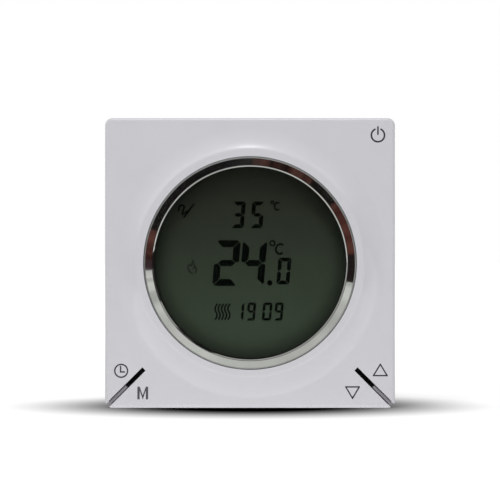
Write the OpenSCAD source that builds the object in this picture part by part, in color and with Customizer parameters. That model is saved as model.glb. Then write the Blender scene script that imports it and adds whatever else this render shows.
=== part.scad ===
// Electronic wall thermostat for a recessed square wall box.
// Every piece is drawn lying on its back: x to the right, y up the wall, z out into the room,
// with the wall at z = 0. stand() turns a piece upright: the wall is Y = 0, the room is at -Y.

/* [Front panel] */
// Width and height of the square front panel
panel_w = 86; // [85:0.5:90]
// Thickness of the panel and of its keys
panel_t = 1.8; // [1.6:0.1:2.2]
// Radius of the panel's corners, seen from the front
panel_corner_r = 2.2; // [1.5:0.1:4]
// Rounding of the panel's front edges
panel_edge_r = 0.8; // [0.4:0.1:1]
// Height of the round collar above the flat of the panel
collar_h = 2; // [1.4:0.1:2.6]
// Distance from the foot of the collar to the panel's edge
collar_margin = 2; // [1.5:0.1:5]
// Width of the level land on top of the collar
collar_land = 1.6; // [1:0.1:2.4]
// Width of the collar's rounded shoulder, outside the land
collar_shoulder = 1.5; // [1:0.1:2.5]

/* [Keys] */
// Distance from the panel's square corner to the line where a corner key bends
key_reach = 16.4; // [15.5:0.1:17]
// Width of the slot between the two keys of a corner
slot_w = 1.15; // [0.8:0.05:1.6]
// Width of the thinning groove behind the bending line, at the back of the panel
groove_w = 1.3; // [0.9:0.1:1.6]
// Running gap between a key and the panel at the bending line
hinge_gap = 0.03; // [0.02:0.01:0.06]
// Free space behind a key's outer edge, for its travel
key_gap = 1.1; // [1.05:0.05:1.5]
// Distance from the bending line to the switch that a key presses
switch_reach = 4.5; // [4.3:0.1:4.8]
// Distance of a corner's two switches from the slot's centre line
switch_side = 3; // [2.8:0.1:3.4]
// Radius of the pad that presses the switch
pad_r = 0.8; // [0.6:0.1:1]

/* [Window] */
// Distance from the bright trim ring to the panel's edge
ring_margin = 11.6; // [11:0.1:13]
// Width of the whole ring, from its clear opening to its outside
ring_w = 2.85; // [2.6:0.05:3]
// Width of the ring's outer edge rounding
ring_edge = 0.35; // [0.2:0.05:0.5]
// Width of the ring's sloping band
ring_band = 1.75; // [1.5:0.05:1.85]
// Height by which the band falls from its crest to its outer edge
ring_fall = 0.8; // [0.4:0.05:0.9]
// Height of the ring's crest above the lens
ring_crest = 1.3; // [1.2:0.05:1.6]
// Thickness of the ring's wall outside the lens
ring_wall = 1.25; // [1:0.05:1.4]
// Thickness of the clear lens
lens_t = 1.5; // [1:0.1:2]
// Thickness of the black tape ring under the lens
tape_t = 0.25; // [0.15:0.05:0.4]
// How far the tape ring shows inside the trim ring, as a black line around the display
tape_show = 0.4; // [0.2:0.05:0.8]
// Thickness of the ledge that carries the lens
ledge_t = 1.2; // [1:0.1:1.6]

/* [Display] */
// How far the display's glass reaches past the round opening
glass_margin = 1.85; // [1.5:0.05:2.2]
// Height of each contact edge of the front glass, above and below the rear glass
contact_edge = 2.5; // [2.2:0.1:2.8]
// Thickness of one sheet of glass
glass_t = 0.9; // [0.7:0.1:1.1]
// Thickness of one polarizer sheet
polarizer_t = 0.2; // [0.15:0.05:0.3]
// How far a polarizer sheet stays inside the edge of the glass
polarizer_margin = 0.7; // [0.4:0.1:1.2]
// Thickness of the light guide
guide_t = 1.8; // [1.5:0.1:2.2]
// Thickness of the reflector sheet
reflector_t = 0.2; // [0.15:0.05:0.3]
// Thickness of the display holder's floor
holder_floor = 0.4; // [0.3:0.1:0.6]
// Thickness of the display holder's walls
holder_wall = 1; // [0.8:0.1:1.2]
// Thickness of the conducting rubber strips
zebra_t = 1.8; // [1.5:0.1:1.9]

/* [Frame] */
// How far the frame's sides stand in from the panel's edge
frame_inset = 0.8; // [0.6:0.1:1.5]
// Thickness of the frame's walls
frame_wall = 1.5; // [1.2:0.1:1.6]
// Distance from the panel's square corner to the inner edge of the frame's corner web
web_reach = 9; // [8.5:0.1:9.2]
// Thickness of the corner webs and of the screw lugs
web_t = 1.4; // [1.2:0.1:1.8]
// Width of one ventilation slot
vent_w = 1.6; // [1.2:0.1:2]
// Distance between ventilation slots
vent_pitch = 4; // [3.2:0.1:4.5]
// Running gap between a corner fin and the sides of its slot
fin_gap = 0.2; // [0.15:0.05:0.3]
// Depth of the corner fins' tops below the panel's face
fin_depth = 0.6; // [0.4:0.1:1]

/* [Display board] */
// Thickness of both circuit boards
board_t = 1.6; // [1.2:0.1:1.8]
// Free height between the wall unit and the display board
board_space = 3.2; // [3:0.1:4]
// Clearance between the display board and the frame's walls
board_gap = 0.5; // [0.3:0.1:0.8]
// Distance between the display's side lamps
lamp_pitch = 28; // [20:1:40]
// Width of the microcontroller's body
chip_w = 10; // [7:0.5:12]
// Diameter of the backup battery
battery_d = 12.5; // [9.5:0.5:14]
// Thickness of the backup battery
battery_t = 2; // [1.6:0.1:2]
// Width of a key switch's square body
switch_w = 4.5; // [4.2:0.1:4.6]
// Height of a key switch's body
switch_body_h = 3; // [2.8:0.1:3.2]
// Height of a key switch to the top of its plunger
switch_h = 3.8; // [3.6:0.05:3.9]
// Radius of a key switch's plunger
plunger_r = 1; // [0.9:0.05:1.1]
// Distance between pins of the board connector
pin_pitch = 2.54; // [2:0.01:2.54]
// Height of the connector socket's body
socket_h = 5; // [4.6:0.1:5.4]

/* [Mounting plate] */
// Thickness of the steel mounting plate
plate_t = 1; // [0.8:0.1:1.2]
// Distance between the wall screws
wall_screw_pitch = 60; // [59:0.1:61]
// Radius of the wall screw slots
wall_slot_r = 2.15; // [2:0.05:2.3]
// Length of the wall screw slots, end to end
wall_slot_l = 8; // [6:0.5:8.5]
// Clearance between the mounting plate and the frame's walls
plate_gap = 0.7; // [0.6:0.05:0.9]
// Height of the sprung tabs, from the wall
tab_h = 4.4; // [4.2:0.1:4.8]
// Width of the sprung tabs
tab_w = 8; // [6:0.5:10]
// Distance of the sprung tabs from the middle
tab_x = 20; // [18:0.5:24]
// Clearance between a sprung tab and the rib that it grips
grip_gap = 0.05; // [0.02:0.01:0.1]

/* [Rear box] */
// Width of the box that enters the wall
box_w = 47; // [46.5:0.5:50]
// Free height between the box's floor and the relay
relay_room = 1.3; // [0.5:0.1:3]
// Free space between the large parts of the power board
part_gap = 0.5; // [0.3:0.1:1]
// Free space between the board connector and the box's upper wall
connector_room = 1.2; // [0.8:0.1:3]
// Thickness of the box's walls and floor
box_wall = 1.5; // [1.3:0.1:1.6]
// Thickness of the box's front lip and of its cover
lip_t = 1.4; // [1.2:0.1:1.6]
// How far the lip reaches over the plate, above and below the box
lip_reach = 4.6; // [4.4:0.1:5]

/* [Terminals] */
// Distance between neighbouring terminals
terminal_pitch = 6.35; // [6.35:0.05:6.6]
// Travel of a clamp between open and shut
clamp_travel = 2; // [1.5:0.1:2]
// Depth of the terminal block, from its wire entries to its back
block_d = 11; // [10.5:0.1:12]
// Radius of a terminal screw's threaded part
terminal_screw_r = 1.45; // [1.3:0.05:1.5]
// Radius of a terminal screw's head
terminal_head_r = 1.9; // [1.8:0.05:2]

/* [Hidden] */
$fn = 48;
e = 0.01;
far = 40;
diagonal = sqrt(2);

// Clearances: a close fit, a loose fit, and the free space around things that only pass by.
close = 0.05;
loose = 0.15;
room = 0.3;

// Heights above the wall, from the back to the front.
unit_front_z = plate_t + lip_t;
board_back_z = unit_front_z + board_space;
board_front_z = board_back_z + board_t;
reflector_z = board_front_z + holder_floor;
guide_z = reflector_z + reflector_t;
rear_polarizer_z = guide_z + guide_t;
rear_glass_z = rear_polarizer_z + polarizer_t;
front_glass_z = rear_glass_z + glass_t;
front_polarizer_z = front_glass_z + glass_t;
holder_top_z = front_polarizer_z - room;
ledge_back_z = front_polarizer_z + polarizer_t + loose;
ledge_front_z = ledge_back_z + ledge_t;
panel_face_z = ledge_front_z + tape_t;
lens_front_z = panel_face_z + lens_t;
panel_back_z = panel_face_z - panel_t;
collar_top_z = panel_face_z + collar_h;
ring_crest_z = lens_front_z + ring_crest;
frame_front_z = panel_back_z - key_gap;
lug_top_z = board_front_z + web_t;

// Sizes across the front.
panel_half = panel_w / 2;
collar_foot_r = panel_half - collar_margin;
ring_r = panel_half - ring_margin;
ring_open_r = ring_r - ring_w;
lens_r = ring_r - ring_wall - loose;
tape_open_r = ring_open_r - tape_show;
glass_w = 2 * (tape_open_r + glass_margin);
glass_h = glass_w + 2 * contact_edge;
rear_glass_h = glass_w;
polarizer_w = glass_w - 2 * polarizer_margin;
corner_u = panel_half * diagonal;
corner_tip_u = corner_u - panel_corner_r * (diagonal - 1);
hinge_u = corner_u - key_reach;
web_u = corner_u - web_reach;
seat_r = ring_r + loose;
ledge_r = ring_open_r + room;
collar_crest_r = seat_r + collar_land;
frame_half = panel_half - frame_inset;
frame_corner_r = 1.8;
frame_in = frame_half - frame_wall;
board_half = frame_in - board_gap;
board_clip_u = web_u - 0.4;
plate_half = frame_in - plate_gap;
holder_in_w = glass_w + room;
holder_in_h = glass_h + room;
holder_w = holder_in_w + 2 * holder_wall;
holder_h = holder_in_h + 2 * holder_wall;
zebra_y = rear_glass_h / 2 + room + zebra_t / 2;
lamp_size = [1.1, 3, 1.4];

// The four points where panel, frame and display board are screwed together.
lug_r = 2.6;
lug_x = frame_in - lug_r - 2.1;
lug_y = 15;
boss_r = 2.3;
screw_r = 0.8;
screw_pilot_r = screw_r + close / 2;
screw_hole_r = screw_r + room;
screw_head_r = 1.9;
screw_head_h = 1.4;

// The S-shaped slope of the collar: a rounded shoulder, then a hollow foot.
collar_run = collar_foot_r - collar_crest_r;
collar_slope = 2 * atan(collar_h / collar_run);
shoulder_r = collar_shoulder / sin(collar_slope);
foot_r = (collar_run - collar_shoulder) / sin(collar_slope);
SHOULDER = [for (a = [0:8]) [collar_crest_r + shoulder_r * sin(a * collar_slope / 8),
                             collar_top_z - shoulder_r * (1 - cos(a * collar_slope / 8))]];
FOOT = [for (a = [11:-1:1]) [collar_foot_r - foot_r * sin(a * collar_slope / 12),
                             panel_face_z + foot_r * (1 - cos(a * collar_slope / 12))]];

// Key switches: corner angle and side of the slot, in the order of the key names.
KEYS = ["power", "clock", "mode", "down", "up"];
KEY_ANGLE = [45, 225, 225, 315, 315];
KEY_SIDE = [0, -1, 1, -1, 1];
switch_u = hinge_u + switch_reach;
plunger_flange = 0.4;
pad_gap = 0.06;

// Parts on the back of the display board.
chip_at = [0, 2];
chip_pitch = 0.8;
chip_h = 1.5;
crystal_at = [chip_at.x + chip_w / 2 + 7, chip_at.y];
battery_at = [0, -19];
clip_t = 0.4;
clip_w = 4;
sensor_pitch = 2.54;
sensor_wire_r = 0.25;
sensor_bead_r = 1.15;
sensor_y = -board_half + 2.2;
SENSOR_AT = [for (x = [-1, 1]) [x * sensor_pitch / 2, sensor_y]];
small_chip = [2, 1.25, 0.6];
power_chip = [3, 3, 1.2];
driver_chip = [4, 5, 1.5];
CHIPS = [for (x = [-26, -20], y = [-6:4:10]) [x, y]];
POWER_CHIPS = [for (y = [-2, 6]) [22, y]];

// Large parts of the power board: width, height up the wall, and depth behind the board.
relay_size = [29, 12.7, 15.7];
transformer_size = [15, 13, 14];
transformer_flange = 1.5;
transformer_foot = 2.5;
film_size = [18, 6.5, 12];
CAN_R = [5, 3.2];
CAN_H = [14, 11];
varistor_r = 5;
varistor_t = 3.6;

// Board connector and the height of the power board, which hangs behind the cover.
pin_rows = 2;
pin_columns = 5;
pin_w = 0.64;
pin_base_h = 2.5;
socket_w = pin_columns * pin_pitch + 0.2;
socket_d = pin_rows * pin_pitch - 0.08;
socket_end_z = board_back_z - socket_h;
power_front_z = socket_end_z - pin_base_h;
power_back_z = power_front_z - board_t;

// Terminals, from their floor on the power board to the screw heads.
poles = 6;
block_w = poles * terminal_pitch + 1.4;
cage_w = 4.6;
cage_wall = 0.8;
cage_nut = 1.2;
cage_h = 6;
cage_room = 0.1;
cage_z = power_back_z - 1;
cage_end_z = cage_z - cage_h;
cavity_end_z = cage_end_z - clamp_travel - cage_room;
neck_t = 1;
head_h = 1.6;
head_z = cavity_end_z - neck_t;
block_end_z = head_z - head_h - 0.2;
bar_w = 2.6;
bar_t = 0.7;
bar_room = 2.2;
bar_z = cage_end_z + cage_nut + cage_room;
wire_w = 3.4;
wire_h = 3.2;
wire_z = cage_z - cage_wall;

// Rear box: its height is that of the rows of parts, its depth that of the relay, and the
// lower part is only as deep as the terminals need.
box_h = 2 * box_wall + room + block_d + bar_room + relay_size.y + transformer_size.y + varistor_t
    + socket_d + 4 * part_gap + connector_room;
box_depth = relay_size.z - power_back_z + relay_room + box_wall;
step_depth = room + box_wall - block_end_z;
box_in_w = box_w - 2 * box_wall;
box_in_h = box_h - 2 * box_wall;
box_corner_r = 3;
box_floor_z = box_wall - box_depth;
step_floor_z = box_wall - step_depth;
cover_back_z = plate_t + 0.2;
cover_vent_l = 14;
post_r = 2.5;
post_x = box_in_w / 2 - post_r - 0.5;
lip_half = box_h / 2 + lip_reach;
box_screw_r = 1.15;
box_screw_x = 16;
box_screw_y = box_h / 2 + lip_reach / 2;
box_screw_bite = 1.4;
cover_screw_bite = 5;
low_head_h = 1;
low_head_r = 2;

// Rows of the power board, from the bottom of the box to its top.
block_front_y = room - box_h / 2;
block_back_y = block_front_y + block_d;
terminal_y = block_front_y + 6;
step_y = block_back_y + bar_room;
relay_at = [0, step_y + box_wall + part_gap + relay_size.y / 2];
row_y = relay_at.y + relay_size.y / 2 + part_gap;
transformer_at = [-11.5, row_y + transformer_size.y / 2];
film_at = [10.5, row_y + film_size.y / 2];
can_row_y = row_y + film_size.y + part_gap;
CAN_AT = [[14.4, can_row_y + CAN_R[0]], [3.8, can_row_y + CAN_R[1]]];
varistor_at = [-9.5, row_y + transformer_size.y + part_gap + varistor_t / 2];
connector_y = varistor_at.y + varistor_t / 2 + part_gap + socket_d / 2;
post_ys = [box_in_h / 2 - post_r - 0.5, step_y + box_wall + post_r - 0.5];

// Soldered wires and their places.
lead_r = 0.4;
lead_hole_r = lead_r + loose;
solder_r = 0.95;
solder_h = 0.7;
lead_end = 0.2;
RELAY_LEADS = [for (x = [-12, -7, 12], y = [-3.75, 3.75]) relay_at + [x, y]];
TRANSFORMER_LEADS = [for (x = [-5, 0, 5], y = [-5, 5]) transformer_at + [x, y]];
FILM_LEADS = [for (x = [-7.5, 7.5]) film_at + [x, 0]];
CAN_LEADS = [for (k = [0, 1], x = [-1, 1]) CAN_AT[k] + [x * CAN_R[k] / 2, 0]];
VARISTOR_LEADS = [for (x = [-2.5, 2.5]) varistor_at + [x, 0]];
BAR_LEADS = [for (i = [0:poles - 1]) [terminal_x(i), block_back_y + close + bar_t / 2]];
PIN_AT = [for (c = [0:pin_columns - 1], r = [0:pin_rows - 1])
    [(c - (pin_columns - 1) / 2) * pin_pitch, connector_y + (r - (pin_rows - 1) / 2) * pin_pitch]];
ALL_LEADS = concat(RELAY_LEADS, TRANSFORMER_LEADS, FILM_LEADS, CAN_LEADS, VARISTOR_LEADS,
                   BAR_LEADS, PIN_AT);

function terminal_x(i) = (i - (poles - 1) / 2) * terminal_pitch;

module stand() rotate([90, 0, 0]) children();

module turned(angle) rotate([0, 0, angle]) children();

module at(p, z = 0) translate([p.x, p.y, z]) children();

module rounded(w, h, r) {
    square([w - 2 * r, h], center = true);
    square([w, h - 2 * r], center = true);
    for (x = [-1, 1], y = [-1, 1])
        translate([x * (w / 2 - r), y * (h / 2 - r)]) circle(r);
}

module slab(w, h, r, z0, z1) translate([0, 0, z0]) linear_extrude(z1 - z0) rounded(w, h, r);

module block(w, d, z0, z1) translate([-w / 2, -d / 2, z0]) cube([w, d, z1 - z0]);

module rod(r, z0, z1) translate([0, 0, z0]) cylinder(h = z1 - z0, r = r);

module four(x, y) for (sx = [-1, 1], sy = [-1, 1]) translate([sx * x, sy * y, 0]) children();

// The four posts that carry the power board and the cover.
module at_posts() for (x = [-1, 1], y = post_ys) translate([x * post_x, y, 0]) children();

module at_switch(k) turned(KEY_ANGLE[k]) translate([switch_u, KEY_SIDE[k] * switch_side, 0])
    children();

// A cross-head screw whose head stands on z = 0 and whose shank points down.
module screw(r, length, head_r, head_h) {
    slot = 0.6;
    difference() {
        rod(head_r, 0, head_h);
        for (turn = [0, 90]) turned(turn) block(head_r * 1.24, slot, head_h / 2, head_h + 1);
    }
    rod(r, -length, e);
}

// A square with its four corners cut off at the distance u from its centre.
module clipped_square(half, u) {
    c = u * diagonal - half;
    polygon([[c, half], [half, c], [half, -c], [c, -half],
             [-c, -half], [-half, -c], [-half, c], [-c, half]]);
}

// Section of the panel's edge with its quarter-round front corner.
module edge_profile(r, edge, t) {
    square([r, t - edge]);
    square([r - edge, t]);
    translate([r - edge, t - edge]) intersection() {
        circle(edge);
        square(edge);
    }
}

// The flat of the panel with rounded corners and front edges, before anything is cut out.
module panel_blank() {
    span = panel_w - 2 * panel_corner_r;
    translate([0, 0, panel_back_z]) {
        block(span, span, 0, panel_t);
        for (turn = [0:90:270])
            turned(turn) translate([span / 2, span / 2, 0]) {
                rotate_extrude(angle = 90) edge_profile(panel_corner_r, panel_edge_r, panel_t);
                rotate([90, 0, 0]) linear_extrude(span)
                    edge_profile(panel_corner_r, panel_edge_r, panel_t);
            }
    }
}

// A key's corner of the panel, from its bending line outwards. With way = 1 it is the space
// that the key fills, and with way = -1 the wider space that the panel leaves free.
module key_zone(way, side) {
    reach = side == 0 ? 2 * far : far;
    front_u = hinge_u + way * hinge_gap / 2;
    back_u = hinge_u + way * groove_w / 2;
    translate([0, side * (slot_w + far) / 2, 0])
        rotate([90, 0, 0]) linear_extrude(reach, center = true)
            polygon([[front_u, panel_face_z + far], [front_u, panel_face_z], [back_u, panel_back_z],
                     [back_u, panel_back_z - far], [far + corner_u, panel_back_z - far],
                     [far + corner_u, panel_face_z + far]]);
}

module front_panel() {
    collar_edge = 0.15;
    color([0.86, 0.86, 0.88]) difference() {
        union() {
            difference() {
                union() {
                    panel_blank();
                    panel_rim();
                }
                rod(seat_r + 0.5, panel_back_z - 1, panel_face_z + 1);
                for (k = [0, 1, 3]) turned(KEY_ANGLE[k]) key_zone(-1, 0);
                block(holder_in_w + 1, holder_in_h + 1, panel_back_z - 1, ledge_back_z);
            }
            rotate_extrude($fn = 128) polygon(concat(
                [[ledge_r, ledge_back_z], [ledge_r, ledge_front_z], [seat_r, ledge_front_z],
                 [seat_r, collar_top_z - collar_edge], [seat_r + collar_edge, collar_top_z]],
                SHOULDER, FOOT,
                [[collar_foot_r + 0.4, panel_face_z - 2 * e], [collar_foot_r + 0.4, ledge_back_z]]));
            four(lug_x, lug_y) rod(boss_r, lug_top_z, panel_back_z + e);
        }
        four(lug_x, lug_y) rod(screw_pilot_r, lug_top_z - 1, panel_face_z - 0.9);
    }
}

// Rim behind the panel that stands on the frame, broken where the keys are.
module panel_rim() difference() {
    slab(2 * frame_half - 1, 2 * frame_half - 1, frame_corner_r - 0.5, frame_front_z, panel_back_z + e);
    slab(2 * frame_in, 2 * frame_in, 0.6, frame_front_z - 1, panel_back_z + 1);
}

module key(k) {
    color([0.86, 0.86, 0.88]) {
        intersection() {
            panel_blank();
            turned(KEY_ANGLE[k]) key_zone(1, KEY_SIDE[k]);
        }
        at_switch(k) rod(pad_r, board_front_z + switch_h + pad_gap, panel_back_z + e);
    }
}

module trim_ring() {
    crest_r = ring_r - ring_edge - ring_band;
    edge_z = ring_crest_z - ring_fall;
    lip_z = ring_crest_z - 0.55;
    seat_z = ledge_front_z + close;
    under_z = lens_front_z + close;
    color([0.8, 0.81, 0.82]) rotate_extrude($fn = 128)
        polygon([[ring_open_r, under_z], [ring_open_r, under_z + 0.2], [ring_open_r + 0.3, lip_z],
                 [crest_r - 0.25, lip_z], [crest_r, ring_crest_z], [ring_r - ring_edge, edge_z],
                 [ring_r, edge_z - ring_edge], [ring_r, seat_z], [lens_r + loose, seat_z],
                 [lens_r + loose, under_z]]);
}

module lens() color([0.85, 0.9, 0.92]) rotate_extrude($fn = 128)
    polygon([[0, panel_face_z], [lens_r, panel_face_z], [lens_r, lens_front_z - 0.2],
             [lens_r - 0.2, lens_front_z], [0, lens_front_z]]);

module lens_tape() color([0.05, 0.05, 0.05]) difference() {
    rod(lens_r, ledge_front_z, panel_face_z);
    rod(tape_open_r, ledge_front_z - 1, panel_face_z + 1);
}

module mid_frame() {
    color([0.84, 0.84, 0.86]) difference() {
        union() {
            difference() {
                slab(2 * frame_half, 2 * frame_half, frame_corner_r, 0, frame_front_z);
                slab(2 * frame_in, 2 * frame_in, 0.6, -1, frame_front_z + 1);
            }
            for (turn = [0:90:270]) turned(turn) corner_web();
            for (turn = [225, 315]) turned(turn) corner_fin();
            four(lug_x, lug_y) rod(lug_r, board_front_z, lug_top_z);
            four((lug_x + frame_in + 0.5) / 2, lug_y)
                block(frame_in + 0.5 - lug_x, 2 * lug_r, board_front_z, lug_top_z);
            four(tab_x, (frame_in + plate_half + grip_gap) / 2)
                block(tab_w / 2, frame_in - plate_half - grip_gap + e, plate_t + 0.4, tab_h);
        }
        four(lug_x, lug_y) rod(screw_hole_r, board_front_z - 1, lug_top_z + 1);
        for (i = [-3:3], y = [-1, 1]) translate([i * vent_pitch, y * frame_half, 0])
            block(vent_w, 4 * frame_wall, unit_front_z + 0.6, lug_top_z - 0.2);
        for (x = [-1, 1]) translate([x * 29, -frame_half, 0])
            block(7, 4 * frame_wall, -1, plate_t + 0.4);
    }
}

// Web that stiffens a corner of the frame, behind the tips of the keys.
module corner_web() {
    corner = frame_half - 0.5;
    edge = web_u * diagonal - corner;
    translate([0, 0, frame_front_z - web_t]) linear_extrude(web_t)
        polygon([[corner, corner], [edge, corner], [corner, edge]]);
}

// Fin that fills the outer half of the slot between two keys.
module corner_fin() {
    start = web_u + e;
    fin_w = slot_w - 2 * fin_gap;
    translate([start, -fin_w / 2, frame_front_z - e])
        cube([corner_tip_u - 0.5 - start, fin_w, panel_face_z - fin_depth - frame_front_z + e]);
}

module display_holder() {
    color([0.93, 0.93, 0.9]) difference() {
        slab(holder_w, holder_h, 1.2, board_front_z, holder_top_z);
        block(holder_in_w, holder_in_h, reflector_z, holder_top_z + 1);
        for (y = [-1, 1]) translate([0, y * zebra_y, 0])
            block(glass_w - 3, zebra_t + room, board_front_z - 1, reflector_z + 1);
        four(holder_w / 2, lamp_pitch / 2) block(4 * holder_wall, lamp_size.y + 2 * room,
            board_front_z - 1, board_front_z + lamp_size.z + 2 * room);
    }
}

module polarizers() color([0.3, 0.33, 0.3]) for (z = [rear_polarizer_z, front_polarizer_z])
    block(polarizer_w, polarizer_w, z, z + polarizer_t);

module display_front_glass() color([0.6, 0.68, 0.62])
    block(glass_w, glass_h, front_glass_z, front_glass_z + glass_t);

module display_rear_glass() color([0.55, 0.62, 0.57])
    block(glass_w, rear_glass_h, rear_glass_z, rear_glass_z + glass_t);

module light_guide() color([0.92, 0.95, 0.95]) block(glass_w, rear_glass_h, guide_z, guide_z + guide_t);

module reflector_sheet() color([0.97, 0.97, 0.97])
    block(glass_w, rear_glass_h, reflector_z, reflector_z + reflector_t);

module zebra_strips() color([0.85, 0.55, 0.6]) for (y = [-1, 1]) translate([0, y * zebra_y, 0])
    block(glass_w - 4, zebra_t, board_front_z, front_glass_z);

module backlight_leds() color([0.95, 0.9, 0.6])
    four((glass_w + lamp_size.x) / 2 + 0.1, lamp_pitch / 2)
        block(lamp_size.x, lamp_size.y, board_front_z, board_front_z + lamp_size.z);

module display_board() {
    color([0.1, 0.35, 0.2]) difference() {
        translate([0, 0, board_back_z]) linear_extrude(board_t)
            clipped_square(board_half, board_clip_u);
        four(lug_x, lug_y) rod(screw_hole_r, board_back_z - 1, board_front_z + 1);
        for (p = SENSOR_AT) at(p) rod(sensor_wire_r + loose, board_back_z - 1, board_front_z + 1);
    }
}

module dust_film() {
    film_t = 0.2;
    edge = 0.5;
    color([0.03, 0.03, 0.03]) difference() {
        translate([0, 0, board_front_z]) linear_extrude(film_t)
            clipped_square(board_half - edge, board_clip_u - edge);
        block(holder_w + edge, holder_h + edge, board_front_z - 1, board_front_z + 1);
        for (k = [0:4]) at_switch(k)
            block(switch_w + edge, switch_w + edge, board_front_z - 1, board_front_z + 1);
        four(lug_x + lug_r, lug_y)
            block(4 * lug_r, 2 * lug_r + edge, board_front_z - 1, board_front_z + 1);
        for (p = SENSOR_AT) at(p) rod(1, board_front_z - 1, board_front_z + 1);
    }
}

module key_switches() color([0.12, 0.12, 0.13]) for (k = [0:4]) at_switch(k)
    translate([0, 0, board_front_z]) difference() {
        block(switch_w, switch_w, 0, switch_body_h);
        rod(plunger_r + close, switch_body_h - 1, switch_body_h + 1);
        rod(plunger_r + plunger_flange + close, switch_body_h - 1.4, switch_body_h - 0.5);
    }

module plunger(k) color([0.9, 0.85, 0.6]) at_switch(k) translate([0, 0, board_front_z]) {
    rod(plunger_r + plunger_flange, switch_body_h - 1, switch_body_h - 0.5 - close);
    rod(plunger_r, switch_body_h - 1, switch_h);
}

module microcontroller() at(chip_at, board_back_z) {
    pins = round((chip_w - 2) / chip_pitch);
    color([0.08, 0.08, 0.09]) difference() {
        block(chip_w, chip_w, -chip_h, -0.1);
        translate([1.2 - chip_w / 2, chip_w / 2 - 1.2, 0]) rod(0.5, -chip_h - 1, 0.1 - chip_h);
    }
    color([0.75, 0.75, 0.77]) for (turn = [0:90:270], n = [0:pins])
        turned(turn) translate([chip_w / 2, (n - pins / 2) * chip_pitch, 0]) {
            translate([0.4, 0, 0]) block(0.9, 0.35, -chip_h / 2 - 0.1, -chip_h / 2 + 0.05);
            translate([0.75, 0, 0]) block(0.25, 0.35, -chip_h / 2, 0);
        }
}

module clock_crystal() color([0.8, 0.8, 0.82]) at(crystal_at, board_back_z) {
    can_r = 1.2;
    can_l = 6.4;
    block(3.2, 8, -room, 0);
    block(can_r, can_l, -can_r, -room + e);
    rotate([90, 0, 0]) translate([0, -can_r - loose, 0]) cylinder(h = can_l, r = can_r, center = true);
}

module battery_clip() color([0.78, 0.78, 0.72]) at(battery_at, board_back_z) {
    r = battery_d / 2;
    back = clip_t + battery_t + close;
    rod(r + 0.7, -clip_t, 0);
    for (turn = [0:90:270]) turned(turn) {
        translate([r + 0.35, 0, 0]) block(0.5, clip_w, -back - room, 0);
        translate([r - 0.3, 0, 0]) block(1.8, clip_w, -back - room, -back);
    }
}

module backup_battery() color([0.82, 0.82, 0.82]) at(battery_at, board_back_z - clip_t) {
    rod(battery_d / 2, -battery_t * 0.75, 0);
    rod(battery_d / 2 - 0.5, -battery_t, 0);
}

module room_sensor() {
    bead_z = board_back_z - 1.6;
    color([0.1, 0.1, 0.1]) translate([0, sensor_y, bead_z]) {
        sphere(sensor_bead_r);
        rotate([0, 90, 0])
            cylinder(h = sensor_pitch + 2 * sensor_wire_r, r = sensor_wire_r, center = true);
    }
    color([0.8, 0.8, 0.8]) for (p = SENSOR_AT) at(p) {
        rod(sensor_wire_r, bead_z - sensor_wire_r, board_front_z + 0.4);
        translate([0, 0, board_front_z]) cylinder(h = 0.35, r1 = 0.7, r2 = sensor_wire_r);
    }
}

module connector_socket() color([0.07, 0.07, 0.07]) difference() {
    translate([0, connector_y, 0]) block(socket_w, socket_d, socket_end_z, board_back_z);
    for (p = PIN_AT) at(p) block(pin_w + loose, pin_w + loose, socket_end_z - 1, board_back_z - 0.6);
}

module chip(size) block(size.x, size.y, -size.z, 0);

module chip_parts() color([0.25, 0.22, 0.2]) {
    for (p = CHIPS) at(p, board_back_z) chip(small_chip);
    for (p = POWER_CHIPS) at(p, board_back_z) chip(power_chip);
    at([-12, -12], board_back_z) chip(driver_chip);
}

module board_screws() color([0.75, 0.76, 0.78]) four(lug_x, lug_y)
    translate([0, 0, board_back_z]) rotate([180, 0, 0])
        screw(screw_r, panel_face_z - 1.1 - board_back_z, screw_head_r, screw_head_h);

module mounting_plate() color([0.72, 0.73, 0.75]) {
    difference() {
        slab(2 * plate_half, 2 * plate_half, 3, 0, plate_t);
        slab(box_w + 2 * room, box_h + 2 * room, box_corner_r + room, -1, plate_t + 1);
        for (x = [-1, 1]) translate([x * wall_screw_pitch / 2, 0, 0]) {
            block(wall_slot_l - 2 * wall_slot_r, 2 * wall_slot_r, -1, plate_t + 1);
            for (end = [-1, 1]) translate([end * (wall_slot_l / 2 - wall_slot_r), 0, 0])
                rod(wall_slot_r, -1, plate_t + 1);
        }
        four(box_screw_x, box_screw_y) rod(box_screw_r + close, -1, plate_t + 1);
    }
    four(tab_x, plate_half - plate_t / 2) block(tab_w, plate_t, 0, tab_h);
}

// The deep part of the rear box's plan, above the step.
module deep_plan(inset) {
    high = box_h / 2 - inset;
    low = step_y + inset;
    translate([0, (high + low) / 2])
        rounded(box_w - 2 * inset, high - low, box_corner_r - inset);
}

module rear_box() color([0.16, 0.16, 0.17]) difference() {
    union() {
        difference() {
            union() {
                slab(box_w, box_h, box_corner_r, -step_depth, unit_front_z);
                slab(box_w, 2 * lip_half, box_corner_r / 2, plate_t, unit_front_z);
                translate([0, 0, -box_depth]) linear_extrude(box_depth) deep_plan(0);
            }
            slab(box_in_w, box_in_h, box_corner_r - box_wall, step_floor_z, far);
            translate([0, 0, box_floor_z]) linear_extrude(far) deep_plan(box_wall);
        }
        at_posts() rod(post_r, box_floor_z - e, power_back_z);
    }
    at_posts() rod(screw_pilot_r, power_back_z - cover_screw_bite - 1, far);
    four(box_screw_x, box_screw_y) rod(box_screw_r + 0.2, plate_t - 1, unit_front_z + 1);
    for (i = [0:poles - 1]) translate([terminal_x(i), terminal_y, 0])
        rod(terminal_head_r + room, -step_depth - 1, step_floor_z + 1);
    translate([0, -box_h / 2, 0])
        block(block_w + 2 * room, 4 * box_wall, step_floor_z, power_back_z + 0.2);
    for (i = [-3:3]) translate([i * 5, box_h / 2, 0])
        block(2, 4 * box_wall, -box_depth + 5, power_back_z - 3);
}

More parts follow.
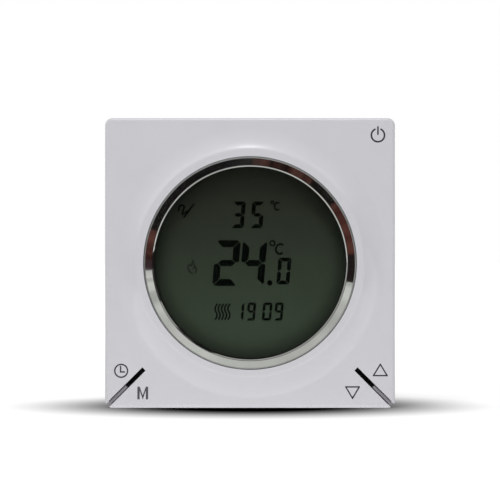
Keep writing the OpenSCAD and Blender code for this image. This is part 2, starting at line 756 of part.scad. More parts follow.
module box_cover() color([0.2, 0.2, 0.21]) difference() {
    union() {
        slab(box_in_w - room, box_in_h - room, 1.4, cover_back_z, unit_front_z);
        at_posts() rod(post_r - 0.2, power_front_z, cover_back_z + e);
    }
    at_posts() rod(screw_hole_r, power_front_z - 1, unit_front_z + 1);
    translate([0, connector_y, 0])
        block(socket_w + 4 * room, socket_d + 4 * room, cover_back_z - 1, unit_front_z + 1);
    for (i = [-3:3]) translate([i * vent_pitch, 2, 0])
        block(vent_w, cover_vent_l, cover_back_z - 1, unit_front_z + 1);
}

module power_board() color([0.1, 0.3, 0.18]) difference() {
    slab(box_in_w - 2 * room, box_in_h - 2 * room, 1.2, power_back_z, power_front_z);
    at_posts() rod(screw_hole_r, power_back_z - 1, power_front_z + 1);
    for (p = ALL_LEADS) at(p) rod(lead_hole_r, power_back_z - 1, power_front_z + 1);
}

// Soldered wires through the power board, each with its solder cone on the front face.
module leads(points) color([0.78, 0.78, 0.8]) for (p = points) at(p) {
    rod(lead_r, power_back_z - e, power_front_z + solder_h + lead_end);
    translate([0, 0, power_front_z]) cylinder(h = solder_h, r1 = solder_r, r2 = lead_r);
}

module connector_pins() {
    base_z = socket_end_z - 0.1;
    color([0.07, 0.07, 0.07]) difference() {
        translate([0, connector_y, 0]) block(socket_w, socket_d, power_front_z, base_z);
        for (p = PIN_AT) at(p) block(pin_w, pin_w, power_front_z - 1, base_z + 1);
    }
    color([0.8, 0.65, 0.3]) for (p = PIN_AT) at(p) {
        block(pin_w, pin_w, power_back_z - 1, board_back_z - 1.2);
        translate([0, 0, power_back_z - solder_h]) cylinder(h = solder_h, r1 = pin_w / 2, r2 = solder_r);
    }
}

module relay() {
    color([0.12, 0.2, 0.5]) at(relay_at, power_back_z) difference() {
        slab(relay_size.x, relay_size.y, 0.6, -relay_size.z, 0);
        block(relay_size.x - 3, relay_size.y - 3, -relay_size.z - 1, 0.2 - relay_size.z);
    }
    leads(RELAY_LEADS);
}

module transformer() {
    size = transformer_size;
    coil_w = 9.4;
    core_w = 4.6;
    leg_w = 2.4;
    top = transformer_flange - size.z;
    at(transformer_at, power_back_z) {
        color([0.2, 0.2, 0.22]) {
            block(size.x, size.y, -transformer_foot, 0);
            block(size.x, size.y, -size.z, top);
            for (x = [-1, 1]) translate([x * (size.x - leg_w) / 2, 0, 0])
                block(leg_w, size.y / 2, top - e, e - transformer_foot);
        }
        color([0.85, 0.7, 0.15]) block(coil_w, size.y - 1.6, top - e, e - transformer_foot);
    }
    leads(TRANSFORMER_LEADS);
}

module mains_capacitor() {
    color([0.88, 0.72, 0.12]) at(film_at)
        slab(film_size.x, film_size.y, 0.8, power_back_z - film_size.z, power_back_z);
    leads(FILM_LEADS);
}

// A round can capacitor with its crimp near the board and its rounded far end.
module can(r, h) rotate_extrude()
    polygon([[0, 0], [r - 0.4, 0], [r, -0.5], [r, -1.4], [r - 0.35, -1.8], [r, -2.2],
             [r, -h + 0.5], [r - 0.5, -h], [0, -h]]);

module smoothing_capacitors() {
    color([0.1, 0.12, 0.3]) for (k = [0, 1]) at(CAN_AT[k], power_back_z) can(CAN_R[k], CAN_H[k]);
    leads(CAN_LEADS);
}

module varistor() {
    color([0.15, 0.35, 0.7]) {
        at(varistor_at, power_back_z - varistor_r - 0.8) rotate([90, 0, 0])
            cylinder(h = varistor_t, r = varistor_r, center = true);
        for (p = VARISTOR_LEADS) at(p) rod(2 * lead_r, power_back_z - 2, power_back_z);
    }
    leads(VARISTOR_LEADS);
}

module terminal_block() color([0.1, 0.32, 0.2]) difference() {
    translate([0, (block_front_y + block_back_y) / 2, 0])
        block(block_w, block_d, block_end_z, power_back_z);
    for (i = [0:poles - 1]) translate([terminal_x(i), terminal_y, 0]) {
        block(cage_w + 0.4, cage_w + 0.4, cavity_end_z, cage_z + cage_room);
        rod(terminal_screw_r + loose, head_z - 1, cavity_end_z + 1);
        rod(terminal_head_r + loose, block_end_z - 1, head_z);
        translate([-wire_w / 2, -far, wire_z - wire_h]) cube([wire_w, far, wire_h]);
        translate([-bar_w / 2 - 0.2, 0, bar_z - cage_room])
            cube([bar_w + 0.4, far, bar_t + 2 * cage_room]);
    }
}

module contact_bars() {
    color([0.85, 0.6, 0.35]) for (i = [0:poles - 1]) translate([terminal_x(i) - bar_w / 2, 0, 0]) {
        translate([0, terminal_y - cage_w / 2, bar_z])
            cube([bar_w, block_back_y + close + bar_t - terminal_y + cage_w / 2, bar_t]);
        translate([0, block_back_y + close, bar_z]) cube([bar_w, bar_t, power_back_z - bar_z]);
    }
    leads(BAR_LEADS);
}

module cover_screws() color([0.75, 0.76, 0.78]) at_posts() translate([0, 0, unit_front_z])
    screw(screw_r, unit_front_z - power_back_z + cover_screw_bite, screw_head_r, low_head_h);

module box_screws() color([0.75, 0.76, 0.78]) four(box_screw_x, box_screw_y)
    translate([0, 0, unit_front_z])
        screw(box_screw_r, unit_front_z + box_screw_bite, low_head_r, low_head_h);

module terminal_screw(i) color([0.78, 0.78, 0.72]) translate([terminal_x(i), terminal_y, 0]) {
    head_end_z = head_z - head_h;
    difference() {
        rod(terminal_head_r, head_end_z, head_z);
        block(2 * terminal_head_r + 1, 0.7, head_end_z - 1, head_end_z + 0.8);
        turned(90) block(2.2, 0.7, head_end_z - 1, head_end_z + 0.8);
    }
    rod(terminal_screw_r, head_z - e, bar_z - close);
}

module terminal_cage(i) color([0.8, 0.8, 0.8]) translate([terminal_x(i), terminal_y, 0])
    difference() {
        block(cage_w, cage_w, cage_end_z, cage_z);
        block(cage_w - 2 * cage_wall, cage_w + 2, cage_end_z + cage_nut, cage_z - cage_wall);
        rod(terminal_screw_r + close, cage_end_z - 1, cage_end_z + cage_nut + 1);
    }

stand() front_panel();
for (k = [0:4]) stand() key(k);
stand() trim_ring();
stand() lens();
stand() lens_tape();
stand() mid_frame();
stand() display_holder();
stand() polarizers();
stand() display_front_glass();
stand() display_rear_glass();
stand() light_guide();
stand() reflector_sheet();
stand() zebra_strips();
stand() backlight_leds();
stand() display_board();
stand() dust_film();
stand() key_switches();
for (k = [0:4]) stand() plunger(k);
stand() microcontroller();
stand() clock_crystal();
stand() battery_clip();
stand() backup_battery();
stand() room_sensor();
stand() connector_socket();
stand() chip_parts();
stand() board_screws();
stand() mounting_plate();
stand() rear_box();
stand() box_cover();
stand() power_board();
stand() connector_pins();
stand() relay();
stand() transformer();
stand() mains_capacitor();
stand() smoothing_capacitors();
stand() varistor();
stand() terminal_block();
stand() contact_bars();
stand() cover_screws();
stand() box_screws();
for (i = [0:5]) stand() terminal_screw(i);
for (i = [0:5]) stand() terminal_cage(i);
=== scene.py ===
"""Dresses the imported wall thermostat: finer front, printed marks, finishes, plain studio."""

import logging
from dataclasses import dataclass
from enum import Enum
from math import atan, atan2, cos, hypot, pi, radians, sin, sqrt, tan
from typing import Callable, Mapping, Sequence

import bpy
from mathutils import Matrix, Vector


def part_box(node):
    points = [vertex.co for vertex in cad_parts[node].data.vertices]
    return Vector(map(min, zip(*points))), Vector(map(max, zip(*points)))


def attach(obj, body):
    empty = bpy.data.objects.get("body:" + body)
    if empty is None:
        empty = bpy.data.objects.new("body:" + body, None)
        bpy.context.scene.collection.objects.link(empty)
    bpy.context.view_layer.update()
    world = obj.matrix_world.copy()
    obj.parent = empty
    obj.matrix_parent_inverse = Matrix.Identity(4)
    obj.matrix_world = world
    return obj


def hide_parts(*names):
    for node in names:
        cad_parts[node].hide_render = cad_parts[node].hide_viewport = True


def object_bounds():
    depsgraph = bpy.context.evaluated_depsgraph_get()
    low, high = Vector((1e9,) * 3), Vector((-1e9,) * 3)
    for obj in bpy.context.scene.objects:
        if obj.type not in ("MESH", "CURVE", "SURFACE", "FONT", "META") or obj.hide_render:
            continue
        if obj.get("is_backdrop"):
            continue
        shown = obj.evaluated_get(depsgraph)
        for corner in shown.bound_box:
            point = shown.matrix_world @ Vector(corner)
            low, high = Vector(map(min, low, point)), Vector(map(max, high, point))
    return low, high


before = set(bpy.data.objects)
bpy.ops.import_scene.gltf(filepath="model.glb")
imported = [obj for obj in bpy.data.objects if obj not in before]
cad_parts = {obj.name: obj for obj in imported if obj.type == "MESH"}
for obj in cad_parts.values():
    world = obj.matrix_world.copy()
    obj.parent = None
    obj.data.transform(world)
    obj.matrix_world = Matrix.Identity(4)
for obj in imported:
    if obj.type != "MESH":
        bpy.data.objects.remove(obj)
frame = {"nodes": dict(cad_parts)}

log = logging.getLogger("thermostat")
MM = 0.001
FRONT = "front_unit"
WALL = "wall_unit"
RING_WIDTH = 2.85 * MM
LEAN = 0.086
TOUCH = 1e-7
Object = bpy.types.Object
Socket = bpy.types.NodeSocket
Point = tuple[float, float]
Triple = tuple[float, float, float]
Light = tuple[float, float, float, float]
Shapes = list[list[Point]]
Feed = float | Sequence[float] | Socket
Test = Callable[[Vector, Vector], bool]


def place(x: float, y: float, z: float) -> Vector:
    """Turns a place given across, up and out of the wall, in metres, into the scene's axes."""
    return Vector((x, -z, y))


def out_of_wall(node: str) -> Point:
    """Returns how far a solid's back and front stand out of the wall, in metres."""
    low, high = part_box(node)
    return -high.y, -low.y


def half_width(node: str) -> float:
    """Returns half of a solid's width, in metres."""
    low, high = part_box(node)
    return (high.x - low.x) / 2


def off_axis(point: Vector) -> float:
    """Returns how far a point lies from the thermostat's middle axis, in metres."""
    return Vector((point.x, point.z)).length


def linear(colour: Triple) -> Light:
    """Turns a colour as a screen shows it, each part from 0 to 1, into the light it stands for."""
    parts = [c / 12.92 if c <= 0.04045 else ((c + 0.055) / 1.055) ** 2.4 for c in colour]
    return parts[0], parts[1], parts[2], 1.0


class Element(Enum):
    """The kinds of mesh element that can be picked."""

    EDGE = "EDGE"
    FACE = "FACE"


def take(*pieces: Object) -> None:
    """Selects the given pieces and nothing else, and makes the first one active.

    Args:
        *pieces: The pieces to select.
    """
    for other in list(bpy.context.selected_objects):
        other.select_set(False)
    for piece in pieces:
        piece.select_set(True)
        bpy.context.view_layer.objects.active = pieces[0]


def edit(piece: Object) -> None:
    """Opens a piece for editing with everything selected.

    Args:
        piece: The piece to open.
    """
    take(piece)
    bpy.ops.object.mode_set(mode="EDIT")
    bpy.ops.mesh.select_all(action="SELECT")


def done() -> None:
    """Closes the piece that is being edited."""
    bpy.ops.object.mode_set(mode="OBJECT")


def pick(piece: Object, kind: Element, wanted: Test) -> None:
    """Opens a piece for editing with only the wanted elements selected.

    Args:
        piece: The piece to edit.
        kind: Whether edges or faces are picked.
        wanted: A test on an element's centre and its normal, or direction for an edge.
    """
    take(piece)
    bpy.ops.object.mode_set(mode="EDIT")
    bpy.ops.mesh.select_mode(type=kind.value)
    bpy.ops.mesh.select_all(action="DESELECT")
    done()
    mesh = piece.data
    if kind is Element.FACE:
        for face in mesh.polygons:
            face.select = wanted(face.center, face.normal)
    else:
        for edge in mesh.edges:
            a, b = (mesh.vertices[i].co for i in edge.vertices)
            edge.select = wanted((a + b) / 2, (b - a).normalized())
    bpy.ops.object.mode_set(mode="EDIT")


def drop(piece: Object, kind: Element, wanted: Test) -> None:
    """Deletes the wanted elements of a piece.

    Args:
        piece: The piece that loses them.
        kind: Whether edges or faces are deleted.
        wanted: A test on an element's centre and its normal, or direction for an edge.
    """
    pick(piece, kind, wanted)
    bpy.ops.mesh.delete(type=kind.value)
    done()


def primitive(name: str, add: Callable[..., object], **settings: object) -> Object:
    """Adds a primitive under a name, with its place, turn and scale applied.

    Args:
        name: The new piece's name.
        add: Blender's operator that adds the primitive.
        **settings: The operator's own settings.

    Returns:
        The new piece.
    """
    take()
    add(**settings)
    piece = bpy.context.object
    piece.name = piece.data.name = name
    bpy.ops.object.transform_apply(location=True, rotation=True, scale=True)
    return piece


def block(name: str, low: Vector, high: Vector) -> Object:
    """Adds a block between two corners."""
    return primitive(name, bpy.ops.mesh.primitive_cube_add, size=1, location=(low + high) / 2,
                     scale=[abs(b - a) for a, b in zip(low, high)])


def slab(name: str, half: float, back: float, front: float) -> Object:
    """Adds a square block on the middle axis, between two heights out of the wall."""
    return block(name, place(-half, -half, back), place(half, half, front))


def rod(name: str, radius: float, back: float, front: float, sides: int) -> Object:
    """Adds a round rod on the middle axis, between two heights out of the wall.

    Args:
        name: The rod's name.
        radius: Its radius.
        back: The height of its back end.
        front: The height of its front end.
        sides: How many flats make up the round.

    Returns:
        The new rod.
    """
    return primitive(name, bpy.ops.mesh.primitive_cylinder_add, vertices=sides, radius=radius,
                     depth=front - back, rotation=(pi / 2, 0, 0),
                     location=place(0, 0, (front + back) / 2))


def outline(name: str, points: Sequence[Vector], filled: bool, closed: bool = True) -> Object:
    """Adds a round outline and moves its corners to the given points.

    Args:
        name: The outline's name.
        points: The places of its corners, in order.
        filled: Whether it gets a face.
        closed: Whether its last point stays joined to its first.

    Returns:
        The outline.
    """
    piece = primitive(name, bpy.ops.mesh.primitive_circle_add, vertices=len(points), radius=1,
                      fill_type="NGON" if filled else "NOTHING")
    for vertex, point in zip(piece.data.vertices, points):
        vertex.co = point
    if not closed:
        first, last = (piece.data.vertices[i].co.copy() for i in (0, -1))
        middle, way = (first + last) / 2, (last - first).normalized()
        drop(piece, Element.EDGE, lambda c, d: (c - middle).length < TOUCH
             and abs(abs(d.dot(way)) - 1) < 1e-6)
    return piece


def raise_open(step: Vector) -> None:
    """Extrudes what is selected on the open piece by a step, and closes the piece."""
    bpy.ops.mesh.extrude_region_move(TRANSFORM_OT_translate={"value": step})
    done()


def plate(name: str, points: Sequence[Point], back: float, front: float) -> Object:
    """Makes a thin plate from its outline, between two heights out of the wall.

    Args:
        name: The plate's name.
        points: The corners of its outline, across and up.
        back: The height of its back.
        front: The height of its front.

    Returns:
        The new plate.
    """
    piece = outline(name, [place(x, y, back) for x, y in points], filled=True)
    pick(piece, Element.FACE, lambda centre, normal: True)
    raise_open(place(0, 0, front - back))
    face_out(piece)
    return piece


def turned(name: str, profile: Sequence[Point], closed: bool = True, steps: int = 256) -> Object:
    """Turns a profile once around the middle axis, as on a lathe.

    Args:
        name: The piece's name.
        profile: Points given as radius and height out of the wall.
        closed: Whether the last point joins the first.
        steps: The number of steps of the full turn.

    Returns:
        The turned piece, with its doubles merged and its faces pointing outwards.
    """
    piece = outline(name, [place(r, 0, z) for r, z in profile], False, closed)
    edit(piece)
    bpy.ops.mesh.spin(steps=steps, angle=2 * pi, axis=(0, 1, 0), center=(0, 0, 0))
    done()
    face_out(piece)
    return piece


def face_out(piece: Object, gap: float = 2e-6) -> None:
    """Merges a piece's doubles and turns its faces outwards.

    Args:
        piece: The piece to clean.
        gap: How close two corners lie when they are one.
    """
    edit(piece)
    bpy.ops.mesh.remove_doubles(threshold=gap)
    bpy.ops.mesh.normals_make_consistent(inside=False)
    done()


def modify(piece: Object, kind: str, **settings: object) -> None:
    """Adds a modifier with its settings and applies it.

    Args:
        piece: The piece to change.
        kind: The modifier's type.
        **settings: The modifier's own settings.
    """
    take(piece)
    bpy.ops.object.modifier_add(type=kind)
    modifier = piece.modifiers[-1]
    for key, value in settings.items():
        setattr(modifier, key, value)
    bpy.ops.object.modifier_apply(modifier=modifier.name)


def cut(piece: Object, cutter: Object) -> None:
    """Cuts a shape out of a piece and throws the cutter away."""
    modify(piece, "BOOLEAN", operation="DIFFERENCE", object=cutter, solver="EXACT")
    bpy.data.objects.remove(cutter)


def saw(piece: Object, at: Vector, away: Vector) -> None:
    """Saws a piece along a plane, closes the cut and drops the side that away points to.

    Args:
        piece: The piece to saw.
        at: A point on the plane.
        away: The plane's normal, towards the side that goes.
    """
    edit(piece)
    bpy.ops.mesh.bisect(plane_co=at, plane_no=away, use_fill=True, clear_outer=True)
    done()


def copy(piece: Object, name: str, step: Vector | None = None) -> Object:
    """Copies a piece with a mesh of its own, and moves the copy's points by a step.

    Args:
        piece: The piece to copy.
        name: The copy's name.
        step: How far the copy's points move, or None where they stay.

    Returns:
        The copy.
    """
    take(piece)
    bpy.ops.object.duplicate(linked=False)
    twin = bpy.context.object
    twin.name = twin.data.name = name
    if step is not None:
        edit(twin)
        bpy.ops.transform.translate(value=step)
        done()
    return twin


def join(name: str, pieces: Sequence[Object]) -> Object:
    """Joins several shapes into one piece.

    Args:
        name: The joined piece's name.
        pieces: The shapes, of which the first takes up the others.

    Returns:
        The joined piece.
    """
    take(*pieces)
    if len(pieces) > 1:
        bpy.ops.object.join()
    piece = bpy.context.object
    piece.name = piece.data.name = name
    return piece


def edges_at(height: float) -> Test:
    """Returns the test for edges at a height out of the wall."""
    return lambda centre, way: abs(centre.y + height) < TOUCH


def upright(centre: Vector, way: Vector) -> bool:
    """Tells whether an edge points out of the wall."""
    return abs(way.y) > 0.9


def bevel_where(piece: Object, wanted: Test, width: float, segments: int) -> None:
    """Rounds the wanted edges of a piece.

    Args:
        piece: The piece to round.
        wanted: A test on an edge's centre and its direction.
        width: How far the rounding reaches from an edge.
        segments: How many flats it has, where one is a chamfer.
    """
    pick(piece, Element.EDGE, wanted)
    bpy.ops.mesh.bevel(offset=width, segments=segments, profile=0.5, affect="EDGES")
    done()


def smooth(piece: Object, degrees: float = 30) -> None:
    """Shades a piece smooth up to an angle, with its flats kept flat.

    Args:
        piece: The piece to shade.
        degrees: The widest angle between faces that still looks round.
    """
    take(piece)
    bpy.ops.object.shade_smooth_by_angle(angle=radians(degrees))
    modify(piece, "WEIGHTED_NORMAL", keep_sharp=True, weight=100)


class Graph:
    """The nodes of a material or a world, with short ways to add what the finishes need."""

    def __init__(self, owner: bpy.types.Material | bpy.types.World) -> None:
        """Opens the owner's nodes."""
        owner.use_nodes = True
        self.owner, self.tree = owner, owner.node_tree

    def feed(self, node: bpy.types.Node, inputs: Mapping[str | int, Feed]) -> None:
        """Sets or links a node's inputs.

        Args:
            node: The node to feed.
            inputs: A value or a socket for each input that isn't left as it is.
        """
        for key, value in inputs.items():
            if isinstance(value, Socket):
                self.tree.links.new(value, node.inputs[key])
            else:
                node.inputs[key].default_value = value

    def add(self, kind: str, inputs: Mapping[str | int, Feed], out: str | int = 0,
            **settings: object) -> Socket:
        """Adds a node.

        Args:
            kind: Its type, without the prefix that all shader nodes share.
            inputs: A value or a socket for each input that isn't left as it is.
            out: The output that is wanted.
            **settings: The node's own settings.

        Returns:
            The wanted output.
        """
        node = self.tree.nodes.new("ShaderNode" + kind)
        for key, value in settings.items():
            setattr(node, key, value)
        self.feed(node, inputs)
        return node.outputs[out]

    def where(self) -> Socket:
        """Returns the place on the piece."""
        return self.add("TexCoord", {}, "Object")

    def along(self, axis: str) -> Socket:
        """Returns the place along one of the piece's axes."""
        return self.add("SeparateXYZ", {"Vector": self.where()}, axis)

    def length(self, vector: Socket, scale: Triple) -> Socket:
        """Returns the length of a vector whose parts are scaled first."""
        scaled = self.add("VectorMath", {0: vector, 1: scale}, operation="MULTIPLY")
        return self.add("VectorMath", {0: scaled}, "Value", operation="LENGTH")

    def noise(self, vector: Socket, size: float, detail: float) -> Socket:
        """Returns a noise whose lumps are about as wide as size."""
        return self.add("TexNoise", {"Vector": vector, "Scale": 1 / size, "Detail": detail}, "Fac")

    def math(self, operation: str, *terms: Feed) -> Socket:
        """Returns what an operation makes of its terms."""
        return self.add("Math", dict(enumerate(terms)), "Value", operation=operation)

    def span(self, value: Socket, start: float = 0.0, end: float = 1.0, low: Feed = 0.0,
             high: Feed = 1.0, soft: bool = False) -> Socket:
        """Maps a value from one range to another, and no further.

        Args:
            value: The value.
            start: Where its range starts.
            end: Where its range ends.
            low: What the start becomes.
            high: What the end becomes.
            soft: Whether it eases in and out.

        Returns:
            The mapped value.
        """
        return self.add("MapRange", {"Value": value, "From Min": start, "From Max": end,
                                     "To Min": low, "To Max": high}, "Result",
                        interpolation_type="SMOOTHSTEP" if soft else "LINEAR")

    def ramp(self, share: Socket, first: Light, last: Light, start: float = 0.0,
             end: float = 1.0) -> Socket:
        """Runs from one colour to another between two shares.

        Args:
            share: The socket that chooses between the colours.
            first: The colour up to the first share.
            last: The colour from the last share.
            start: The first share.
            end: The last share.

        Returns:
            The colour's socket.
        """
        colours = self.add("ValToRGB", {"Fac": share}, "Color")
        ends = colours.node.color_ramp.elements
        for element, position, colour in zip(ends, (start, end), (first, last)):
            element.position, element.color = position, colour
        return colours

    def blend(self, share: Socket, first: Feed, second: Feed) -> Socket:
        """Mixes two colours."""
        return self.add("Mix", {"Factor": share, "A": first, "B": second}, "Result",
                        data_type="RGBA")

    def either(self, share: Socket, first: Socket, second: Socket) -> Socket:
        """Mixes two shaders."""
        return self.add("MixShader", {"Fac": share, 1: first, 2: second}, "Shader")

    def seen(self) -> Socket:
        """Returns 1 for the rays that show a surface: camera, mirror and glass rays.

        Returns:
            The socket, which is 0 for every other ray.
        """
        rays = [self.add("LightPath", {}, f"Is {kind} Ray")
                for kind in ("Camera", "Glossy", "Transmission")]
        return self.math("MAXIMUM", self.math("MAXIMUM", *rays[:2]), rays[2])

    def show(self, shader: Socket) -> None:
        """Makes a shader the material's surface, in place of the usual one.

        Args:
            shader: The shader's socket.
        """
        nodes = self.tree.nodes
        nodes.remove(nodes["Principled BSDF"])
        self.feed(nodes["Material Output"], {"Surface": shader})


@dataclass(frozen=True)
class Finish:
    """A moulded or cast surface: a colour that drifts a little, and a fine grain.

    The colour is given as a screen shows it. Sizes are in metres.

    Attributes:
        name: The finish's name, which its material takes.
        colour: The colour in the middle of its drift.
        roughness: How dull the surface is, from 0 to 1.
        metallic: 1 for bare metal and 0 for all else.
        drift: The share by which the colour's light goes up and down.
        drift_size: The size of the patches in which it does.
        grain: The height of the grain.
        grain_size: The width of the grain.
        shine: How strongly a surface that isn't metal mirrors.
        stretch: How many times finer the patterns are along each axis.
        shade_reach: How near a wall has to be for painted shade to darken the surface, or 0 for no
            painted shade.
        wear: The share by which the dullness goes up and down.
    """

    name: str
    colour: Triple
    roughness: float = 0.45
    metallic: float = 0.0
    drift: float = 0.03
    drift_size: float = 6 * MM
    grain: float = 0.004 * MM
    grain_size: float = 0.35 * MM
    shine: float = 0.5
    stretch: Triple = (1.0, 1.0, 1.0)
    shade_reach: float = 0.0
    wear: float = 0.12

    def shade(self, factor: float) -> Light:
        """Returns the colour's light times a factor."""
        r, g, b, a = linear(self.colour)
        return r * factor, g * factor, b * factor, a

    def build(self) -> bpy.types.Material:
        """Makes the material, whose patterns are fixed to the piece.

        Returns:
            The new material.
        """
        graph = Graph(bpy.data.materials.new(self.name))
        spread = graph.add("Mapping", {"Vector": graph.where(), "Scale": self.stretch}, "Vector")
        cloud = graph.noise(spread, self.drift_size, 3)
        colour = self.paint(graph, cloud)
        # Painted shade: the colour darkens in recesses, by ambient occlusion.
        if self.shade_reach:
            colour = self.paint_recess_shade(graph, colour)
        looks = {"Base Color": colour, "Metallic": self.metallic, "Specular IOR Level": self.shine,
                 "Roughness": self.gloss(graph, cloud)}
        if self.grain:
            grain = graph.noise(spread, self.grain_size, 2)
            looks["Normal"] = graph.add("Bump", {"Height": grain, "Distance": self.grain}, "Normal")
        graph.feed(graph.tree.nodes["Principled BSDF"], looks)
        return graph.owner

    def gloss(self, graph: Graph, cloud: Socket) -> Socket:
        """Returns a roughness that goes up and down a little with a noise."""
        return graph.span(cloud, low=self.roughness * (1 - self.wear),
                          high=self.roughness * (1 + self.wear))

    def paint(self, graph: Graph, cloud: Socket) -> Socket:
        """Mixes the two ends of the colour's drift."""
        return graph.ramp(cloud, self.shade(1 - self.drift), self.shade(1 + self.drift), 0.3, 0.7)

    def paint_recess_shade(self, graph: Graph, colour: Socket) -> Socket:
        """Paints shade into a colour where the surface lies deep between walls, as in a screw's
        slot.
        """
        depth = graph.add("AmbientOcclusion", {"Distance": self.shade_reach}, "AO", only_local=True)
        return graph.blend(graph.span(depth, 0.35, 0.9, 0.12), (0, 0, 0, 1), colour)


@dataclass(frozen=True)
class BoardFinish(Finish):
    """A printed circuit board: solder mask over copper tracks.

    Attributes:
        track_colour: The mask's colour over a track.
        track_pitch: The distance between two tracks.
        patch: The size of the areas that have tracks.
    """

    track_colour: Triple = (0.17, 0.43, 0.24)
    track_pitch: float = 1.1 * MM
    patch: float = 9 * MM

    def paint(self, graph: Graph, cloud: Socket) -> Socket:
        """Lays lighter tracks, with squared turns, over the solder mask's colour.

        Args:
            graph: The material's nodes.
            cloud: The soft noise by which the colour drifts.

        Returns:
            The colour's socket.
        """
        turn = graph.add("Mapping", {"Vector": graph.where(), "Rotation": (pi / 2, 0, 0)},
                         "Vector")
        tracks = graph.add("TexBrick", {
            "Vector": turn, "Scale": 1.0, "Brick Width": 7 * self.track_pitch,
            "Row Height": self.track_pitch, "Mortar Size": 0.14 * self.track_pitch,
            "Mortar Smooth": 0.1}, "Fac", offset=0.37)
        bare = graph.span(graph.noise(turn, self.patch, 1), 0.47, 0.5)
        return graph.blend(graph.math("MULTIPLY", bare, tracks), super().paint(graph, cloud),
                           linear(self.track_colour))


@dataclass(frozen=True)
class DisplayFinish(Finish):
    """The polarizer over the lit display, with painted shade: darker at the top and at the rim.

    Attributes:
        low_colour: The colour at the bottom, which the painted shade leaves lighter.
        rim_shade_colour: The painted shade that the rim fades to.
        reach: Half of the display's height.
    """

    low_colour: Triple = (0.245, 0.285, 0.235)
    rim_shade_colour: Light = (0.003, 0.003, 0.003, 1.0)
    reach: float = 28 * MM

    def paint(self, graph: Graph, cloud: Socket) -> Socket:
        """Paints shade: blends the darker top colour into the low colour, and darkens the rim.

        Args:
            graph: The material's nodes.
            cloud: The soft noise, for which an even display has no use.

        Returns:
            The colour's socket.
        """
        # Painted shade of the deep ring: darker towards the top, and near black at the rim.
        height = graph.span(graph.along("Z"), self.reach, -self.reach, soft=True)
        rim = graph.span(graph.length(graph.where(), (1, 0, 1)), 0.82 * self.reach,
                         1.02 * self.reach, high=0.4, soft=True)
        return graph.blend(rim, graph.ramp(height, linear(self.colour), linear(self.low_colour)),
                           self.rim_shade_colour)


@dataclass(frozen=True)
class PaneFinish(Finish):
    """A clear pane that passes light straight through and mirrors by its angle.

    Attributes:
        index: The refractive index.
        mirror: The share of the mirror's strength that is kept.
        wear: The share by which the dullness goes up and down, more than elsewhere.
    """

    index: float = 1.45
    mirror: float = 0.35
    wear: float = 0.3

    def build(self) -> bpy.types.Material:
        """Mixes a clear and a glossy shader by Fresnel, on outer faces, with an uneven gloss.

        Returns:
            The new material.
        """
        graph = Graph(bpy.data.materials.new(self.name))
        rough = self.gloss(graph, graph.noise(graph.where(), self.drift_size, 2))
        mirrored = graph.math("MULTIPLY", graph.add("Fresnel", {"IOR": self.index}, "Fac"),
                              self.mirror)
        outer = graph.math("SUBTRACT", 1.0, graph.add("NewGeometry", {}, "Backfacing"))
        graph.show(graph.either(
            graph.math("MULTIPLY", mirrored, outer),
            graph.add("BsdfTransparent", {"Color": linear(self.colour)}, "BSDF"),
            graph.add("BsdfAnisotropic", {"Roughness": rough}, "BSDF")))
        return graph.owner


@dataclass(frozen=True)
class WoundFinish(Finish):
    """Tape wound in overlapping turns.

    Attributes:
        turn: The width of one turn.
    """

    turn: float = 1.6 * MM

    def paint(self, graph: Graph, cloud: Socket) -> Socket:
        """Darkens the edge of each turn of the tape.

        Args:
            graph: The material's nodes.
            cloud: The soft noise by which the colour drifts.

        Returns:
            The colour's socket.
        """
        wave = graph.add("TexWave", {"Vector": graph.where(), "Scale": 0.314 / self.turn}, "Fac",
                         bands_direction="Y", wave_profile="SAW")
        return graph.blend(graph.span(wave, 0.85), super().paint(graph, cloud), self.shade(0.45))


@dataclass(frozen=True)
class HeaderFinish(Finish):
    """Gilt pins in a dark base, which lies between the socket and the power board.

    Attributes:
        base_colour: The base's colour.
    """

    base_colour: Triple = (0.09, 0.09, 0.10)

    def paint(self, graph: Graph, cloud: Socket) -> Socket:
        """Paints the gilt colour, and the base's colour between its front and its back.

        Args:
            graph: The material's nodes.
            cloud: The soft noise by which the colour drifts.

        Returns:
            The colour's socket.
        """
        front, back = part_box("connector_socket")[1].y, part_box("power_board")[0].y
        inside = graph.math("COMPARE", graph.along("Y"), (front + back) / 2, (back - front) / 2)
        return graph.blend(inside, super().paint(graph, cloud), linear(self.base_colour))


